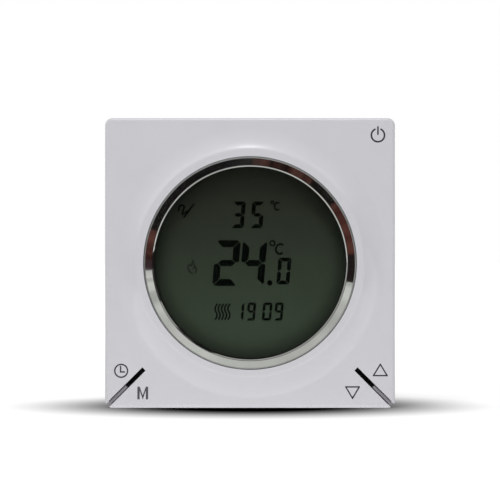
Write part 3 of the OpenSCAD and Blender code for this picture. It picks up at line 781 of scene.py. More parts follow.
class Palette:
    """The finishes of the thermostat, each made once, when it is first asked for."""

    FINISHES = (
        Finish("panel_plastic", (0.800, 0.797, 0.815), 0.26, drift=0.012, drift_size=14 * MM,
               grain=0.0016 * MM, grain_size=0.3 * MM),
        Finish("frame_plastic", (0.575, 0.56, 0.59), 0.42, drift=0.02, drift_size=9 * MM),
        Finish("ring_chrome", (0.86, 0.87, 0.845), 0.06, 1.0, drift=0.05, grain=0.0002 * MM,
               grain_size=0.8 * MM),
        PaneFinish("clear_lens", (0.97, 0.975, 0.97), 0.3, drift_size=12 * MM),
        Finish("black_tape", (0.035, 0.035, 0.037), 0.6, grain_size=0.5 * MM),
        Finish("white_plastic", (0.90, 0.90, 0.87), 0.5),
        # The top colour is darker than the low colour, as painted shade.
        DisplayFinish("polarizer_film", (0.172, 0.182, 0.152), 0.5, grain=0.0, shine=0.05),
        Finish("display_glass", (0.50, 0.56, 0.51), 0.12, drift=0.02, grain=0.0),
        Finish("guide_acrylic", (0.86, 0.89, 0.89), 0.12, drift=0.02, grain=0.0),
        Finish("zebra_rubber", (0.80, 0.52, 0.56), 0.7, drift=0.25, drift_size=0.25 * MM,
               stretch=(1.0, 0.05, 0.05)),
        BoardFinish("board_green", (0.07, 0.28, 0.16), 0.35, drift=0.06),
        Finish("black_plastic", (0.16, 0.16, 0.17), 0.5, drift=0.05),
        Finish("chip_black", (0.09, 0.09, 0.10), 0.55, drift=0.08, grain=0.006 * MM),
        # bright_metal gets painted shade in its recesses.
        Finish("bright_metal", (0.80, 0.81, 0.82), 0.24, 1.0, drift=0.04, drift_size=1.5 * MM,
               shade_reach=0.6 * MM),
        Finish("zinc_steel", (0.72, 0.73, 0.74), 0.36, 1.0, drift=0.10, drift_size=2.5 * MM,
               grain=0.003 * MM, grain_size=0.6 * MM),
        # spring_steel gets painted shade in its screw slots.
        Finish("spring_steel", (0.76, 0.76, 0.73), 0.3, 1.0, drift=0.05, stretch=(1.0, 1.0, 0.15),
               shade_reach=0.9 * MM),
        HeaderFinish("contact_gold", (0.86, 0.70, 0.38), 0.25, 1.0, drift=0.04),
        Finish("relay_blue", (0.13, 0.24, 0.56), 0.38, drift=0.04),
        WoundFinish("coil_tape", (0.87, 0.74, 0.18), 0.4, drift=0.04),
        Finish("film_yellow", (0.89, 0.73, 0.16), 0.36, drift=0.05),
        Finish("can_sleeve", (0.10, 0.12, 0.30), 0.3, drift=0.06),
        Finish("varistor_blue", (0.15, 0.36, 0.70), 0.3, drift=0.10, grain=0.02 * MM,
               grain_size=1.5 * MM),
        Finish("terminal_green", (0.12, 0.38, 0.24), 0.42, drift=0.04),
        Finish("copper_tin", (0.80, 0.66, 0.50), 0.32, 1.0, drift=0.15, drift_size=1.2 * MM),
        Finish("display_ink", (0.020, 0.036, 0.024), 0.5, drift=0.15, grain=0.0, shine=0.0),
        Finish("display_ghost", (0.110, 0.125, 0.105), 0.5, drift=0.15, grain=0.0, shine=0.0),
        Finish("print_grey", (0.31, 0.31, 0.33), 0.5, drift=0.06, drift_size=0.8 * MM, shine=0.2),
        Finish("print_dark", (0.22, 0.22, 0.24), 0.5, drift=0.06, drift_size=0.8 * MM, shine=0.2),
    )

    def __init__(self) -> None:
        """Starts with no material made."""
        self.known = {finish.name: finish for finish in self.FINISHES}
        self.made: dict[str, bpy.types.Material] = {}

    def dress(self, piece: Object, name: str) -> None:
        """Gives a whole piece one finish.

        Args:
            piece: The piece to dress.
            name: The finish's name.
        """
        if name not in self.made:
            self.made[name] = self.known[name].build()
        if not piece.data.materials:
            piece.data.materials.append(None)
        for index in range(len(piece.data.materials)):
            piece.data.materials[index] = self.made[name]

    def hand_over(self, piece: Object, body: str, finish: str, *nodes: str,
                  slot: str = "") -> None:
        """Finishes a new piece: dresses it, fixes it to its body and hides the solids it stands
        for.

        Args:
            piece: The finished mesh, with its place in its points.
            body: The body that it moves with.
            finish: The finish's name.
            *nodes: The solids that it stands for.
            slot: Not used.
        """
        self.dress(piece, finish)
        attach(piece, body)
        if nodes:
            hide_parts(*nodes)
        log.info("%s: %d faces, rides %s", piece.name, len(piece.data.polygons), body)


def key_axes(angle: float) -> tuple[Vector, Vector]:
    """Returns the way out to a corner, at an angle, and the way along its bending line."""
    a = radians(angle)
    return place(cos(a), sin(a), 0), place(-sin(a), cos(a), 0)


@dataclass
class Assembly:
    """New pieces that belong together and take their finishes from one palette.

    Attributes:
        palette: The finishes to choose from.
    """

    palette: Palette


@dataclass
class FrontPanel(Assembly):
    """The square front panel with its round collar, and the five keys bent from its corners.

    Attributes:
        thick: The panel's thickness.
        corner_radius: The radius of its corners.
        edge_radius: The rounding of its front edge.
        key_reach: How far in from the panel's sharp corner a key bends.
        groove: The width of the groove behind the bend.
        swing: The lean of a key's cut at the bend, which leaves room to swing.
        slot_width: The slot between the two keys of one corner.
        collar_margin: How far in from the panel's edge the collar's foot lies.
        collar_land: How far the collar's crest lies outside the ring's seat.
        collar_shoulder: How much of the collar's breadth its round shoulder takes.
        collar_lip: The rounding of the seat's front edge.
        collar_wall: The wall behind the panel, around the seat.
        seat_gap: The gap between the ring and its seat.
        ledge_gap: How far the ledge's inner edge lies outside the ring's opening.
        ledge_thick: The thickness of the ledge behind the tape and the lens.
        tray_gap: The room around the display holder.
        rim_inset: How far in from the panel's edge the rim behind it stands.
        rim_wall: The thickness of the rim's wall.
        rim_depth: How far the rim reaches behind the panel.
        rim_corner: The radius of the rim's corners.
        pad_radius: The radius of the pad behind a key.
        pad_gap: The gap between a pad and the plunger of its switch.
        pad_edge: The rounding of the pad's end.
        boss_radius: The radius of a screw boss.
        pilot_radius: The radius of the hole in a boss.
        head_radius: The radius of a board screw's head.
        sunk: How deep a joined shape sinks into the panel.
        rings: How many steps the collar's hollow and its shoulder each have.
        keys: Each key's name, the angle of its corner, and the side of the slot that it lies on.
    """

    thick: float = 1.8 * MM
    corner_radius: float = 2.2 * MM
    edge_radius: float = 0.95 * MM
    key_reach: float = 16.4 * MM
    groove: float = 1.1 * MM
    swing: float = radians(3)
    slot_width: float = 1.36 * MM
    collar_margin: float = 2.0 * MM
    collar_land: float = 1.6 * MM
    collar_shoulder: float = 1.05 * MM
    collar_lip: float = 0.15 * MM
    collar_wall: float = 0.5 * MM
    seat_gap: float = 0.15 * MM
    ledge_gap: float = 0.3 * MM
    ledge_thick: float = 1.2 * MM
    tray_gap: float = 0.5 * MM
    rim_inset: float = 1.3 * MM
    rim_wall: float = 1.0 * MM
    rim_depth: float = 1.1 * MM
    rim_corner: float = 1.3 * MM
    pad_radius: float = 0.8 * MM
    pad_gap: float = 0.06 * MM
    pad_edge: float = 0.15 * MM
    boss_radius: float = 2.3 * MM
    pilot_radius: float = 0.825 * MM
    head_radius: float = 1.9 * MM
    sunk: float = 0.01 * MM
    rings: int = 24
    keys: tuple[tuple[str, float, int], ...] = (
        ("power", 45, 0), ("clock", 225, -1), ("mode", 225, 1), ("down", 315, -1), ("up", 315, 1))

    def __post_init__(self) -> None:
        """Reads the panel's place from the solids."""
        self.half = half_width("front_panel")
        self.face = out_of_wall("key_clock")[1]
        self.boss_foot, self.top = out_of_wall("front_panel")
        self.ring = half_width("trim_ring")
        self.ledge = out_of_wall("lens_tape")[0]
        self.ledge_back = self.ledge - self.ledge_thick
        self.back = self.face - self.thick
        self.foot = self.half - self.collar_margin
        self.hinge = self.half * sqrt(2) - self.key_reach
        self.corners = [key_axes(a)[0] for a in sorted({angle for _, angle, _ in self.keys})]

    def build(self) -> None:
        """Makes the panel and its keys."""
        blank = self.blank()
        pad = self.pad()
        for name, angle, side in self.keys:
            self.key(blank, pad, name, angle, side)
        bpy.data.objects.remove(pad)
        self.panel(blank)

    def blank(self) -> Object:
        """Makes the flat square with rounded corners and a rounded front edge.

        Returns:
            The blank, from which the keys and the panel are cut.
        """
        piece = slab("panel_blank", self.half, self.back, self.face)
        bevel_where(piece, upright, self.corner_radius, 12)
        bevel_where(piece, edges_at(self.face), self.edge_radius, 10)
        return piece

    def pad(self) -> Object:
        """Makes the round pad that stands behind a key, on the middle of the panel.

        Returns:
            The pad, which is copied for each key.
        """
        end = out_of_wall(f"plunger_{self.keys[0][0]}")[1] + self.pad_gap
        pad = rod("pad", self.pad_radius, end, self.back, sides=32)
        bevel_where(pad, edges_at(end), self.pad_edge, 3)
        smooth(pad)
        return pad

    def key(self, blank: Object, pad: Object, name: str, angle: float, side: int) -> None:
        """Saws one key out of the blank and adds the pad that presses its switch.

        Args:
            blank: The panel's blank, which stays as it is.
            pad: The pad, which is copied over the key's switch.
            name: The key's name.
            angle: The angle of its corner, in degrees from the right.
            side: The side of the slot that it lies on, or 0 for a whole corner.
        """
        out, along = key_axes(angle)
        piece = copy(blank, f"key_{name}_cap")
        hinge = out * self.hinge + place(0, 0, self.face)
        saw(piece, hinge, -(out + place(0, 0, 1) * tan(self.swing)))
        self.relieve(piece, out)
        if side:
            saw(piece, along * side * self.slot_width / 2, -along * side)
        smooth(piece)
        low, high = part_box(f"plunger_{name}")
        centre = (low + high) / 2
        own = copy(pad, "own_pad", Vector((centre.x, 0, centre.z)))
        self.palette.hand_over(join(f"key_{name}_cap", [piece, own]), f"key_{name}",
                               "panel_plastic", f"key_{name}")

    def relieve(self, piece: Object, out: Vector) -> None:
        """Chamfers the back edge along a bending line: the groove of the living hinge.

        Args:
            piece: The piece on one side of the bending line.
            out: The way from the middle out to the corner.
        """
        near, far = self.hinge - 0.01 * MM, self.hinge + 0.2 * MM
        bevel_where(piece, lambda c, d: abs(c.y + self.back) < 1e-6 and abs(d.dot(out)) < 1e-3
                    and near < c.dot(out) < far, self.groove / 2, 1)

    def panel(self, piece: Object) -> None:
        """Saws the key corners off the blank and joins the collar, the rim and the bosses.

        Args:
            piece: The blank.
        """
        for out in self.corners:
            saw(piece, out * self.hinge, out)
            self.relieve(piece, out)
        self.open_foot(piece)
        piece = join("panel", [piece, turned("collar", self.collar_profile(), False)])
        face_out(piece, 5e-6)
        rim = self.rim()
        low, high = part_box("display_holder")
        room = Vector((self.tray_gap, 0, self.tray_gap))
        cut(piece, block("pocket", Vector((low.x, 0, low.z)) - room,
                         Vector((high.x, -self.ledge_back, high.z)) + room))
        boss = rod("boss", self.boss_radius, self.boss_foot, self.back + self.sunk, sides=48)
        cut(boss, rod("pilot", self.pilot_radius, self.boss_foot - MM, self.back, sides=24))
        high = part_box("board_screws")[1]
        x, z = high.x - self.head_radius, high.z - self.head_radius
        bosses = [copy(boss, "boss", Vector((sx * x, 0, sz * z)))
                  for sx in (-1, 1) for sz in (-1, 1)]
        bpy.data.objects.remove(boss)
        piece = join("panel", [piece, rim] + bosses)
        smooth(piece, 28)
        self.palette.hand_over(piece, FRONT, "panel_plastic", "front_panel")

    def open_foot(self, piece: Object) -> None:
        """Cuts the hole under the collar, with corners that all lie on the collar's own.

        Args:
            piece: The blank, with its corners sawn off.
        """
        cut(piece, rod("hole", self.foot, self.back - MM, self.face + MM, sides=256))
        near, on_ring = 0.02 * MM, 0.0005 * MM
        drop(piece, Element.FACE, lambda c, n: abs(n.y) < 0.1
             and abs(off_axis(c) - self.foot) < near)
        ring = [v.co.copy() for v in piece.data.vertices
                if abs(off_axis(v.co) - self.foot) < on_ring]
        for vertex in piece.data.vertices:
            if on_ring < self.foot - off_axis(vertex.co) < near:
                vertex.co = min(ring, key=lambda corner: (corner - vertex.co).length)

    def collar_profile(self) -> list[Point]:
        """Returns the collar's section, from its foot over its crest to the panel's back.

        Returns:
            Each point's distance from the axis, and its height.
        """
        seat = self.ring + self.seat_gap
        crest = seat + self.collar_land
        rise, run = self.top - self.face, self.foot - crest
        slope = 2 * atan(rise / run)
        big = (run - self.collar_shoulder) / sin(slope)
        small = self.collar_shoulder / sin(slope)
        steps = [slope * i / self.rings for i in range(self.rings + 1)]
        hollow = [(self.foot - big * sin(a), self.face + big * (1 - cos(a))) for a in steps]
        shoulder = [(crest + small * sin(a), self.top - small * (1 - cos(a)))
                    for a in reversed(steps[:-1])]
        lip = [(seat + self.collar_lip * (1 - sin(a)), self.top - self.collar_lip * (1 - cos(a)))
               for a in (radians(15 * i) for i in range(7))]
        inner, outer = self.ring - RING_WIDTH + self.ledge_gap, seat + self.collar_wall
        return hollow + shoulder + lip + [
            (seat, self.ledge), (inner, self.ledge), (inner, self.ledge_back),
            (outer, self.ledge_back), (outer, self.back), (self.foot, self.back)]

    def rim(self) -> Object:
        """Makes the rim behind the panel that stands on the frame, broken at the keys.

        Returns:
            The rim, which joins the panel's back.
        """
        outer, start = self.half - self.rim_inset, self.back - self.rim_depth
        rim = slab("rim", outer, start, self.back + self.sunk)
        bevel_where(rim, upright, self.rim_corner, 8)
        cut(rim, slab("rim_hole", outer - self.rim_wall, start - MM, self.face))
        for out in self.corners:
            saw(rim, out * (self.hinge - self.groove / 2), out)
        return rim


@dataclass
class Window(Assembly):
    """The bright trim ring, the clear lens under it and the black tape that frames the display.

    Attributes:
        crest_in: How far in from the ring's outside its crest starts.
        crest_flat: The crest's width.
        tilt: The slope of the band outside the crest.
        lip: The width of the bright lip inside the crest.
        lip_tilt: The lip's slope.
        bead: The width of the groove and the bead around the outside.
        bead_tilt: The bead's slope.
        wall: The thickness of the ring's outer wall.
        edge: The rounding of the bead's outer edge.
        lens_gap: The gap between the ring and the lens.
        lens_edge: The lens's chamfer.
        tape_shows: How far the tape shows inside the ring's opening.
        tape_soft: The chamfer of the tape's edges.
    """

    crest_in: float = 2.45 * MM
    crest_flat: float = 0.14 * MM
    tilt: float = radians(24.6)
    lip: float = 0.34 * MM
    lip_tilt: float = radians(38)
    bead: float = 0.44 * MM
    bead_tilt: float = radians(40)
    wall: float = 1.25 * MM
    edge: float = 0.1 * MM
    lens_gap: float = 0.05 * MM
    lens_edge: float = 0.2 * MM
    tape_shows: float = 0.4 * MM
    tape_soft: float = 0.04 * MM

    def build(self) -> None:
        """Makes the three round pieces."""
        self.ring()
        self.lens()
        self.tape()

    def ring(self) -> None:
        """Turns the ring: inner wall, bright lip, crest, sloping band, fine groove and bead."""
        hair = 0.01 * MM
        radius, edge = half_width("trim_ring"), self.edge
        back, front = out_of_wall("trim_ring")
        under = out_of_wall("lens")[1] + self.lens_gap
        crest, opening, foot = (radius - i for i in (self.crest_in, RING_WIDTH, self.bead))
        inner, skirt = crest - self.crest_flat, radius - self.wall
        foot_z = front - (foot - crest) * tan(self.tilt)
        slope = self.bead - edge - 5 * hair
        corner_z = foot_z - 2 * hair - slope * tan(self.bead_tilt)
        piece = turned("bright_ring", [
            (opening, under), (opening, under + 8 * hair),
            (inner - self.lip, front - self.lip * tan(self.lip_tilt)),
            (inner - 3 * hair, front - 3 * hair), (inner, front), (crest, front), (foot, foot_z),
            (foot + 2 * hair, foot_z - 6 * hair), (foot + 5 * hair, foot_z - 2 * hair),
            (radius - edge, corner_z), (radius - 0.3 * edge, corner_z - 0.5 * edge),
            (radius, corner_z - 1.3 * edge), (radius, back), (skirt, back), (skirt, under)])
        smooth(piece, 12)
        self.palette.hand_over(piece, FRONT, "ring_chrome", "trim_ring")

    def lens(self) -> None:
        """Makes the lens, a flat disc with a small chamfer."""
        back, front = out_of_wall("lens")
        piece = rod("window_lens", half_width("lens"), back, front, sides=192)
        bevel_where(piece, edges_at(front), self.lens_edge, 3)
        smooth(piece)
        self.palette.hand_over(piece, FRONT, "clear_lens", "lens")

    def tape(self) -> None:
        """Turns the flat ring of black tape."""
        radius, soft = half_width("lens_tape"), self.tape_soft
        opening = half_width("trim_ring") - RING_WIDTH - self.tape_shows
        back, front = out_of_wall("lens_tape")
        piece = turned("tape_ring", [
            (opening, back), (radius, back), (radius, front - soft), (radius - soft, front),
            (opening + soft, front), (opening, front - soft)], steps=192)
        smooth(piece, 20)
        self.palette.hand_over(piece, FRONT, "black_tape", "lens_tape")


def stroke(path: Sequence[Point], width: float, round_ends: bool = True) -> list[Point]:
    """Returns the outline of an open stroke of even width.

    Args:
        path: The points along the stroke's middle.
        width: The stroke's width.
        round_ends: Whether its ends are round or cut square.

    Returns:
        The outline's points in order.
    """
    half = width / 2
    left: list[Point] = []
    right: list[Point] = []
    for i, (x, y) in enumerate(path):
        sides = [(b[0] - a[0], b[1] - a[1])
                 for a, b in zip(path[max(i - 1, 0):i + 1], path[max(i, 1):i + 2])]
        units = [(dx / hypot(dx, dy), dy / hypot(dx, dy)) for dx, dy in sides]
        tx, ty = sum(u[0] for u in units), sum(u[1] for u in units)
        size = hypot(tx, ty)
        nx, ny = -ty / size, tx / size
        grow = half
        if len(units) == 2:
            grow = half / max(0.35, nx * -units[0][1] + ny * units[0][0])
        left.append((x + nx * grow, y + ny * grow))
        right.append((x - nx * grow, y - ny * grow))
    if not round_ends:
        return left + right[::-1]
    return left + cap(path[-2], path[-1], half) + right[::-1] + cap(path[1], path[0], half)


def cap(before: Point, end: Point, radius: float) -> list[Point]:
    """Returns the points of a round stroke end, without its first and last.

    Args:
        before: The point of the line before its end.
        end: The line's end, on which the round is centred.
        radius: Half of the stroke's width.

    Returns:
        The points, from the left side to the right.
    """
    heading = atan2(end[1] - before[1], end[0] - before[0])
    turns = [heading + pi / 2 - pi * i / 8 for i in range(1, 8)]
    return [(end[0] + radius * cos(t), end[1] + radius * sin(t)) for t in turns]


def arc(centre: Point, radius: float, start: float, end: float, steps: int,
        squeeze: float = 1.0) -> list[Point]:
    """Returns points along an arc.

    Args:
        centre: The arc's centre.
        radius: Its radius.
        start: The angle at which it starts, in degrees.
        end: The angle at which it ends.
        steps: The number of its steps.
        squeeze: Its width as a share of its height.

    Returns:
        The points in order.
    """
    angles = [radians(start + (end - start) * i / steps) for i in range(steps + 1)]
    return [(centre[0] + squeeze * radius * cos(a), centre[1] + radius * sin(a)) for a in angles]


def halves(centre: Point, radius: float, steps: int, width: float) -> Shapes:
    """Returns the outlines of a ring in two halves."""
    return [stroke(arc(centre, radius, a, a + 180, steps), width, False) for a in (0, 180)]


def printed(name: str, outlines: Shapes, level: float, thick: float) -> Object:
    """Makes one thin piece out of many outlines, which are given in millimetres."""
    return join(name, [plate("mark", [(x * MM, y * MM) for x, y in shape], level, level + thick)
                       for shape in outlines])


@dataclass(frozen=True)
class Digit:
    """One seven-segment digit. Its sizes are its segments' middle lines, in millimetres.

    Attributes:
        value: The digit.
        left: Where its left uprights stand.
        right: Where its right uprights stand.
        low: The height of its bottom bar.
        high: The height of its top bar.
        weight: The width of a segment.
        gap: The gap between two segments.
        trim: How much of a corner is cut off, as a share of half the weight.
    """

    value: str
    left: float
    right: float
    low: float
    high: float
    weight: float
    gap: float = 0.18
    trim: float = 0.8

    LIT = {"0": "abcdef", "1": "bc", "2": "abged", "3": "abgcd", "4": "fgbc", "5": "afgcd",
           "9": "abcdfg"}

    def segments(self) -> Shapes:
        """Returns the outline of each lit segment, leaning to the right.

        Returns:
            One outline for each lit segment.
        """
        middle = (self.low + self.high) / 2
        return [[(x + LEAN * (y - middle), y) for x, y in shape]
                for key, shape in self.shapes().items() if key in self.LIT[self.value]]

    def shapes(self) -> dict[str, list[Point]]:
        """Returns the outlines of all seven segments, upright, with mitred ends.

        Returns:
            The outlines, under the letters that LIT has for the segments.
        """
        h, g = self.weight / 2, self.gap / 2
        l, r, b, t = self.left, self.right, self.low, self.high
        m, c, waist = (b + t) / 2, self.trim * h, 0.9 * h

        def bar(y: float, up: int) -> list[Point]:
            """Returns the top or bottom bar, whose outer side is longer and has cut corners.

            Args:
                y: The height of the bar's middle line.
                up: 1 for the top bar and -1 for the bottom bar.

            Returns:
                The bar's outline.
            """
            return [(l - h + c + g, y + up * h), (r + h - c - g, y + up * h),
                    (r + h - c / 2 - g, y + up * (h - c / 2)), (r - h - g, y - up * h),
                    (l + h + g, y - up * h), (l - h + c / 2 + g, y + up * (h - c / 2))]

        def post(x: float, side: int, end: float, up: int) -> list[Point]:
            """Returns one upright between the middle and the top or bottom bar.

            Args:
                x: Where the upright's middle line stands.
                side: 1 for a right upright and -1 for a left one.
                end: The height of the top or bottom bar's middle line.
                up: 1 towards the top bar and -1 towards the bottom bar.

            Returns:
                The upright's outline.
            """
            return [(x + side * (h - c / 2), end + up * (h - c / 2 - g)),
                    (x + side * h, end + up * (h - c - g)),
                    (x + side * h, m + up * (g + 0.35 * h)), (x, m + up * g),
                    (x - side * h, m + up * (h + g)), (x - side * h, end - up * (h + g))]

        return {
            "a": bar(t, 1), "d": bar(b, -1), "b": post(r, 1, t, 1), "c": post(r, 1, b, -1),
            "f": post(l, -1, t, 1), "e": post(l, -1, b, -1),
            "g": [(l + g, m), (l + h + g, m + waist), (r - h - g, m + waist), (r - g, m),
                  (r - h - g, m - waist), (l + h + g, m - waist)]}


@dataclass
class DisplayMarks(Assembly):
    """What the display shows: temperatures, the time and small signs, in millimetres.

    Attributes:
        thick: The thickness of a mark.
        wave_pitch: The distance between two wavy lines.
        waves: How many wavy lines there are.
        digits: All the digits that are lit.
        corner: The middle lines of the sign in the upper left.
        flame: The middle lines of the faint sign at the left.
    """

    thick: float = 0.02 * MM
    wave_pitch: float = 0.95 * MM
    waves: int = 5
    digits: tuple[Digit, ...] = (
        Digit("3", -4.7, -2.15, 10.9, 17.65, 1.18), Digit("5", 0.95, 3.4, 10.9, 17.65, 1.18),
        Digit("2", -9.65, -4.3, -5.8, 5.7, 2.05, 0.26),
        Digit("4", -1.6, 3.6, -5.8, 5.7, 2.05, 0.26),
        Digit("0", 8.7, 11.45, -5.8, 1.0, 1.12),
        Digit("1", -3.9, -2.2, -16.75, -12.15, 0.76, 0.1),
        Digit("9", -0.5, 1.25, -16.75, -12.15, 0.76, 0.1),
        Digit("0", 4.1, 6.1, -16.75, -12.15, 0.76, 0.1),
        Digit("9", 7.7, 9.45, -16.75, -12.15, 0.76, 0.1))
    corner: tuple[list[Point], ...] = (
        [(-21.2, 15.5), (-21.0, 16.8), (-20.2, 17.3), (-19.5, 16.7), (-19.75, 15.9),
         (-20.15, 15.0), (-19.95, 14.35), (-18.75, 15.35)],
        [(-19.65, 13.5), (-16.75, 17.4)])
    flame: tuple[list[Point], ...] = (
        [(-17.0, -3.2), (-18.0, -2.6), (-18.5, -1.4), (-18.1, -0.5), (-17.5, -0.9)],
        [(-17.3, -0.9), (-17.2, 0.1), (-16.8, 0.8), (-16.7, -0.3), (-16.2, -1.2)],
        [(-16.9, -1.7), (-16.3, -1.0), (-15.9, -2.0), (-16.3, -3.0)])

    def build(self) -> None:
        """Makes the dark marks and the faint one, on the front polarizer."""
        level = out_of_wall("polarizers")[1]
        outlines = [shape for digit in self.digits for shape in digit.segments()]
        outlines += self.degrees_sign((6.62, 17.95), 0.42, (8.1, 16.85), 0.8, 1.1, 0.5)
        outlines += self.degrees_sign((6.68, 5.85), 0.72, (8.95, 4.15), 1.25, 1.45, 0.58)
        outlines.append(arc((5.88, -5.9), 0.8, 0, 345, 23))
        outlines += [stroke(line, 0.5) for line in self.corner]
        wave = printed("wave", [self.wave()], level, self.thick)
        waves = [copy(wave, "wave", place(i * self.wave_pitch, 0, 0))
                 for i in range(1, self.waves)]
        marks = printed("marks", outlines, level, self.thick)
        self.palette.hand_over(join("display_marks", [marks, wave] + waves), FRONT,
                               "display_ink", slot="polarizer_film")
        ghost = printed("display_ghost_mark", [stroke(line, 0.34) for line in self.flame], level,
                        self.thick)
        self.palette.hand_over(ghost, FRONT, "display_ghost", slot="polarizer_film")

    @staticmethod
    def degrees_sign(ring: Point, radius: float, letter: Point, width: float, height: float,
                     weight: float) -> Shapes:
        """Draws a small ring in two halves and an open round letter.

        Args:
            ring: The ring's centre.
            radius: The ring's radius.
            letter: The letter's centre.
            width: Half of the letter's width.
            height: Half of the letter's height.
            weight: The width of the letter's stroke.

        Returns:
            The outlines.
        """
        bow = arc(letter, height, 48, 312, 28, squeeze=width / height)
        leaning = [(x + LEAN * (y - letter[1]), y) for x, y in bow]
        return halves(ring, radius, 16, weight * 0.8) + [stroke(leaning, weight, False)]

    @staticmethod
    def wave() -> list[Point]:
        """Returns the outline of the first of the wavy lines, which lean as the digits do."""
        return stroke([(-10.35 + 0.42 * sin(2 * pi * (t + 0.02)) + 0.55 * t,
                        -16.75 + 4.5 * t) for t in (j / 18 for j in range(19))], 0.45)


@dataclass
class KeyPrints(Assembly):
    """The signs printed on the keys, each riding on its own key, in millimetres.

    Attributes:
        thick: The thickness of a print.
        fine: The stroke's width in a triangle.
        inset: The share by which a triangle's stroke lies inside its corners.
    """

    thick: float = 0.015 * MM
    fine: float = 0.4
    inset: float = 0.1

    def build(self) -> None:
        """Lays the strokes of the five signs on their keys' faces."""
        signs = {"power": self.power(), "clock": self.clock(), "mode": [self.mode()],
                 "up": self.triangle((38.62, -29.77), (36.35, -33.5), (40.85, -33.5)),
                 "down": self.triangle((30.38, -40.35), (32.6, -36.6), (28.15, -36.6))}
        for name, outlines in signs.items():
            key = f"key_{name}"
            piece = printed(f"{key}_print", outlines, out_of_wall(key)[1], self.thick)
            self.palette.hand_over(piece, key, "print_grey" if name == "mode" else "print_dark",
                                   slot="panel_plastic")

    @staticmethod
    def power() -> Shapes:
        """Returns the open ring and its bar."""
        return [stroke(arc((37.91, 37.86), 1.95, 117, 423, 48), 0.5),
                stroke([(37.91, 38.15), (37.91, 40.3)], 0.46)]

    @staticmethod
    def clock() -> Shapes:
        """Returns the ring in two halves and the two hands."""
        hands = stroke([(-38.35, -30.5), (-38.35, -32.3), (-37.05, -32.3)], 0.42, False)
        return halves((-38.17, -31.96), 1.9, 32, 0.42) + [hands]

    @staticmethod
    def mode() -> list[Point]:
        """Returns the plain capital that marks the mode key.

        Returns:
            The letter's outline.
        """
        left, right, low, high, bar, drop = -33.37, -30.18, -40.42, -36.66, 0.68, 1.1
        middle, tip, dip = (left + right) / 2, 0.02, 1.25
        return [(left, low), (left + bar, low), (left + bar, high - drop), (middle - tip, low),
                (middle + tip, low), (right - bar, high - drop), (right - bar, low), (right, low),
                (right, high), (right - bar, high), (middle, low + dip), (left + bar, high),
                (left, high)]

    def triangle(self, *corners: Point) -> Shapes:
        """Returns the three sides of an outlined triangle.

        Args:
            *corners: The triangle's three corners.

        Returns:
            One stroke for each side.
        """
        cx, cy = (sum(part) / 3 for part in zip(*corners))
        inner = [(x + (cx - x) * self.inset, y + (cy - y) * self.inset) for x, y in corners]
        return [stroke([inner[i], inner[(i + 1) % 3]], self.fine) for i in range(3)]


@dataclass
class Moulding:
    """A solid's shape with its sharp edges softened, as a mould or a press leaves them.

    Attributes:
        node: The solid's name.
        body: The body that it moves with.
        finish: The finish's name.
        radius: The radius of its edges.
        steps: How many flats round an edge.
    """

    node: str
    body: str
    finish: str
    radius: float
    steps: int = 2

    def build(self, palette: Palette, nodes: dict[str, Object]) -> None:
        """Copies the solid's mesh, merges its flats and rounds its edges.

        Args:
            palette: The finishes to choose from.
            nodes: The solids, by their names.
        """
        piece = copy(nodes[self.node], f"soft_{self.node}")
        face_out(piece, 5e-7)
        edit(piece)
        bpy.ops.mesh.dissolve_limited(angle_limit=radians(0.5))
        done()
        modify(piece, "BEVEL", width=self.radius, segments=self.steps, limit_method="ANGLE",
               angle_limit=radians(50), use_clamp_overlap=True, miter_outer="MITER_ARC")
        smooth(piece, 35)
        palette.hand_over(piece, self.body, self.finish, self.node)


@dataclass
class Inside(Assembly):
    """The solids behind the front: some softened, the rest shown as packed with a finish."""

    MOULDINGS = (
        Moulding("mid_frame", FRONT, "frame_plastic", 0.2 * MM),
        Moulding("mounting_plate", WALL, "zinc_steel", 0.15 * MM),
        Moulding("rear_box", WALL, "black_plastic", 0.4 * MM, 3),
        Moulding("box_cover", WALL, "black_plastic", 0.25 * MM),
        Moulding("terminal_block", WALL, "terminal_green", 0.15 * MM),
        Moulding("relay", WALL, "relay_blue", 0.3 * MM, 3),
        Moulding("mains_capacitor", WALL, "film_yellow", 0.5 * MM, 3),
        Moulding("display_holder", FRONT, "white_plastic", 0.15 * MM),
        Moulding("key_switches", FRONT, "black_plastic", 0.1 * MM),
        Moulding("connector_socket", FRONT, "chip_black", 0.15 * MM),
    )

    PACKED = {
        "white_plastic": ("backlight_leds", "reflector_sheet", "plunger_"),
        "polarizer_film": ("polarizers",),
        "display_glass": ("display_front_glass", "display_rear_glass"),
        "guide_acrylic": ("light_guide",),
        "zebra_rubber": ("zebra_strips",),
        "board_green": ("display_board", "power_board"),
        "black_tape": ("dust_film",),
        "chip_black": ("chip_parts", "room_sensor", "microcontroller"),
        "bright_metal": ("clock_crystal", "backup_battery", "board_screws", "cover_screws",
                         "box_screws", "terminal_cage_"),
        "spring_steel": ("battery_clip", "terminal_screw_"),
        "contact_gold": ("connector_pins",),
        "copper_tin": ("contact_bars",),
        "coil_tape": ("transformer",),
        "can_sleeve": ("smoothing_capacitors",),
        "varistor_blue": ("varistor",),
    }

    def build(self, nodes: dict[str, Object]) -> None:
        """Softens the moulded solids and dresses the others, by how their names start.

        Args:
            nodes: The solids, by their names.
        """
        for moulding in self.MOULDINGS:
            moulding.build(self.palette, nodes)
        for finish, starts in self.PACKED.items():
            for name, node in nodes.items():
                if name.startswith(starts):
                    self.palette.dress(node, finish)
                    log.info("%s: packed, %s", name, finish)


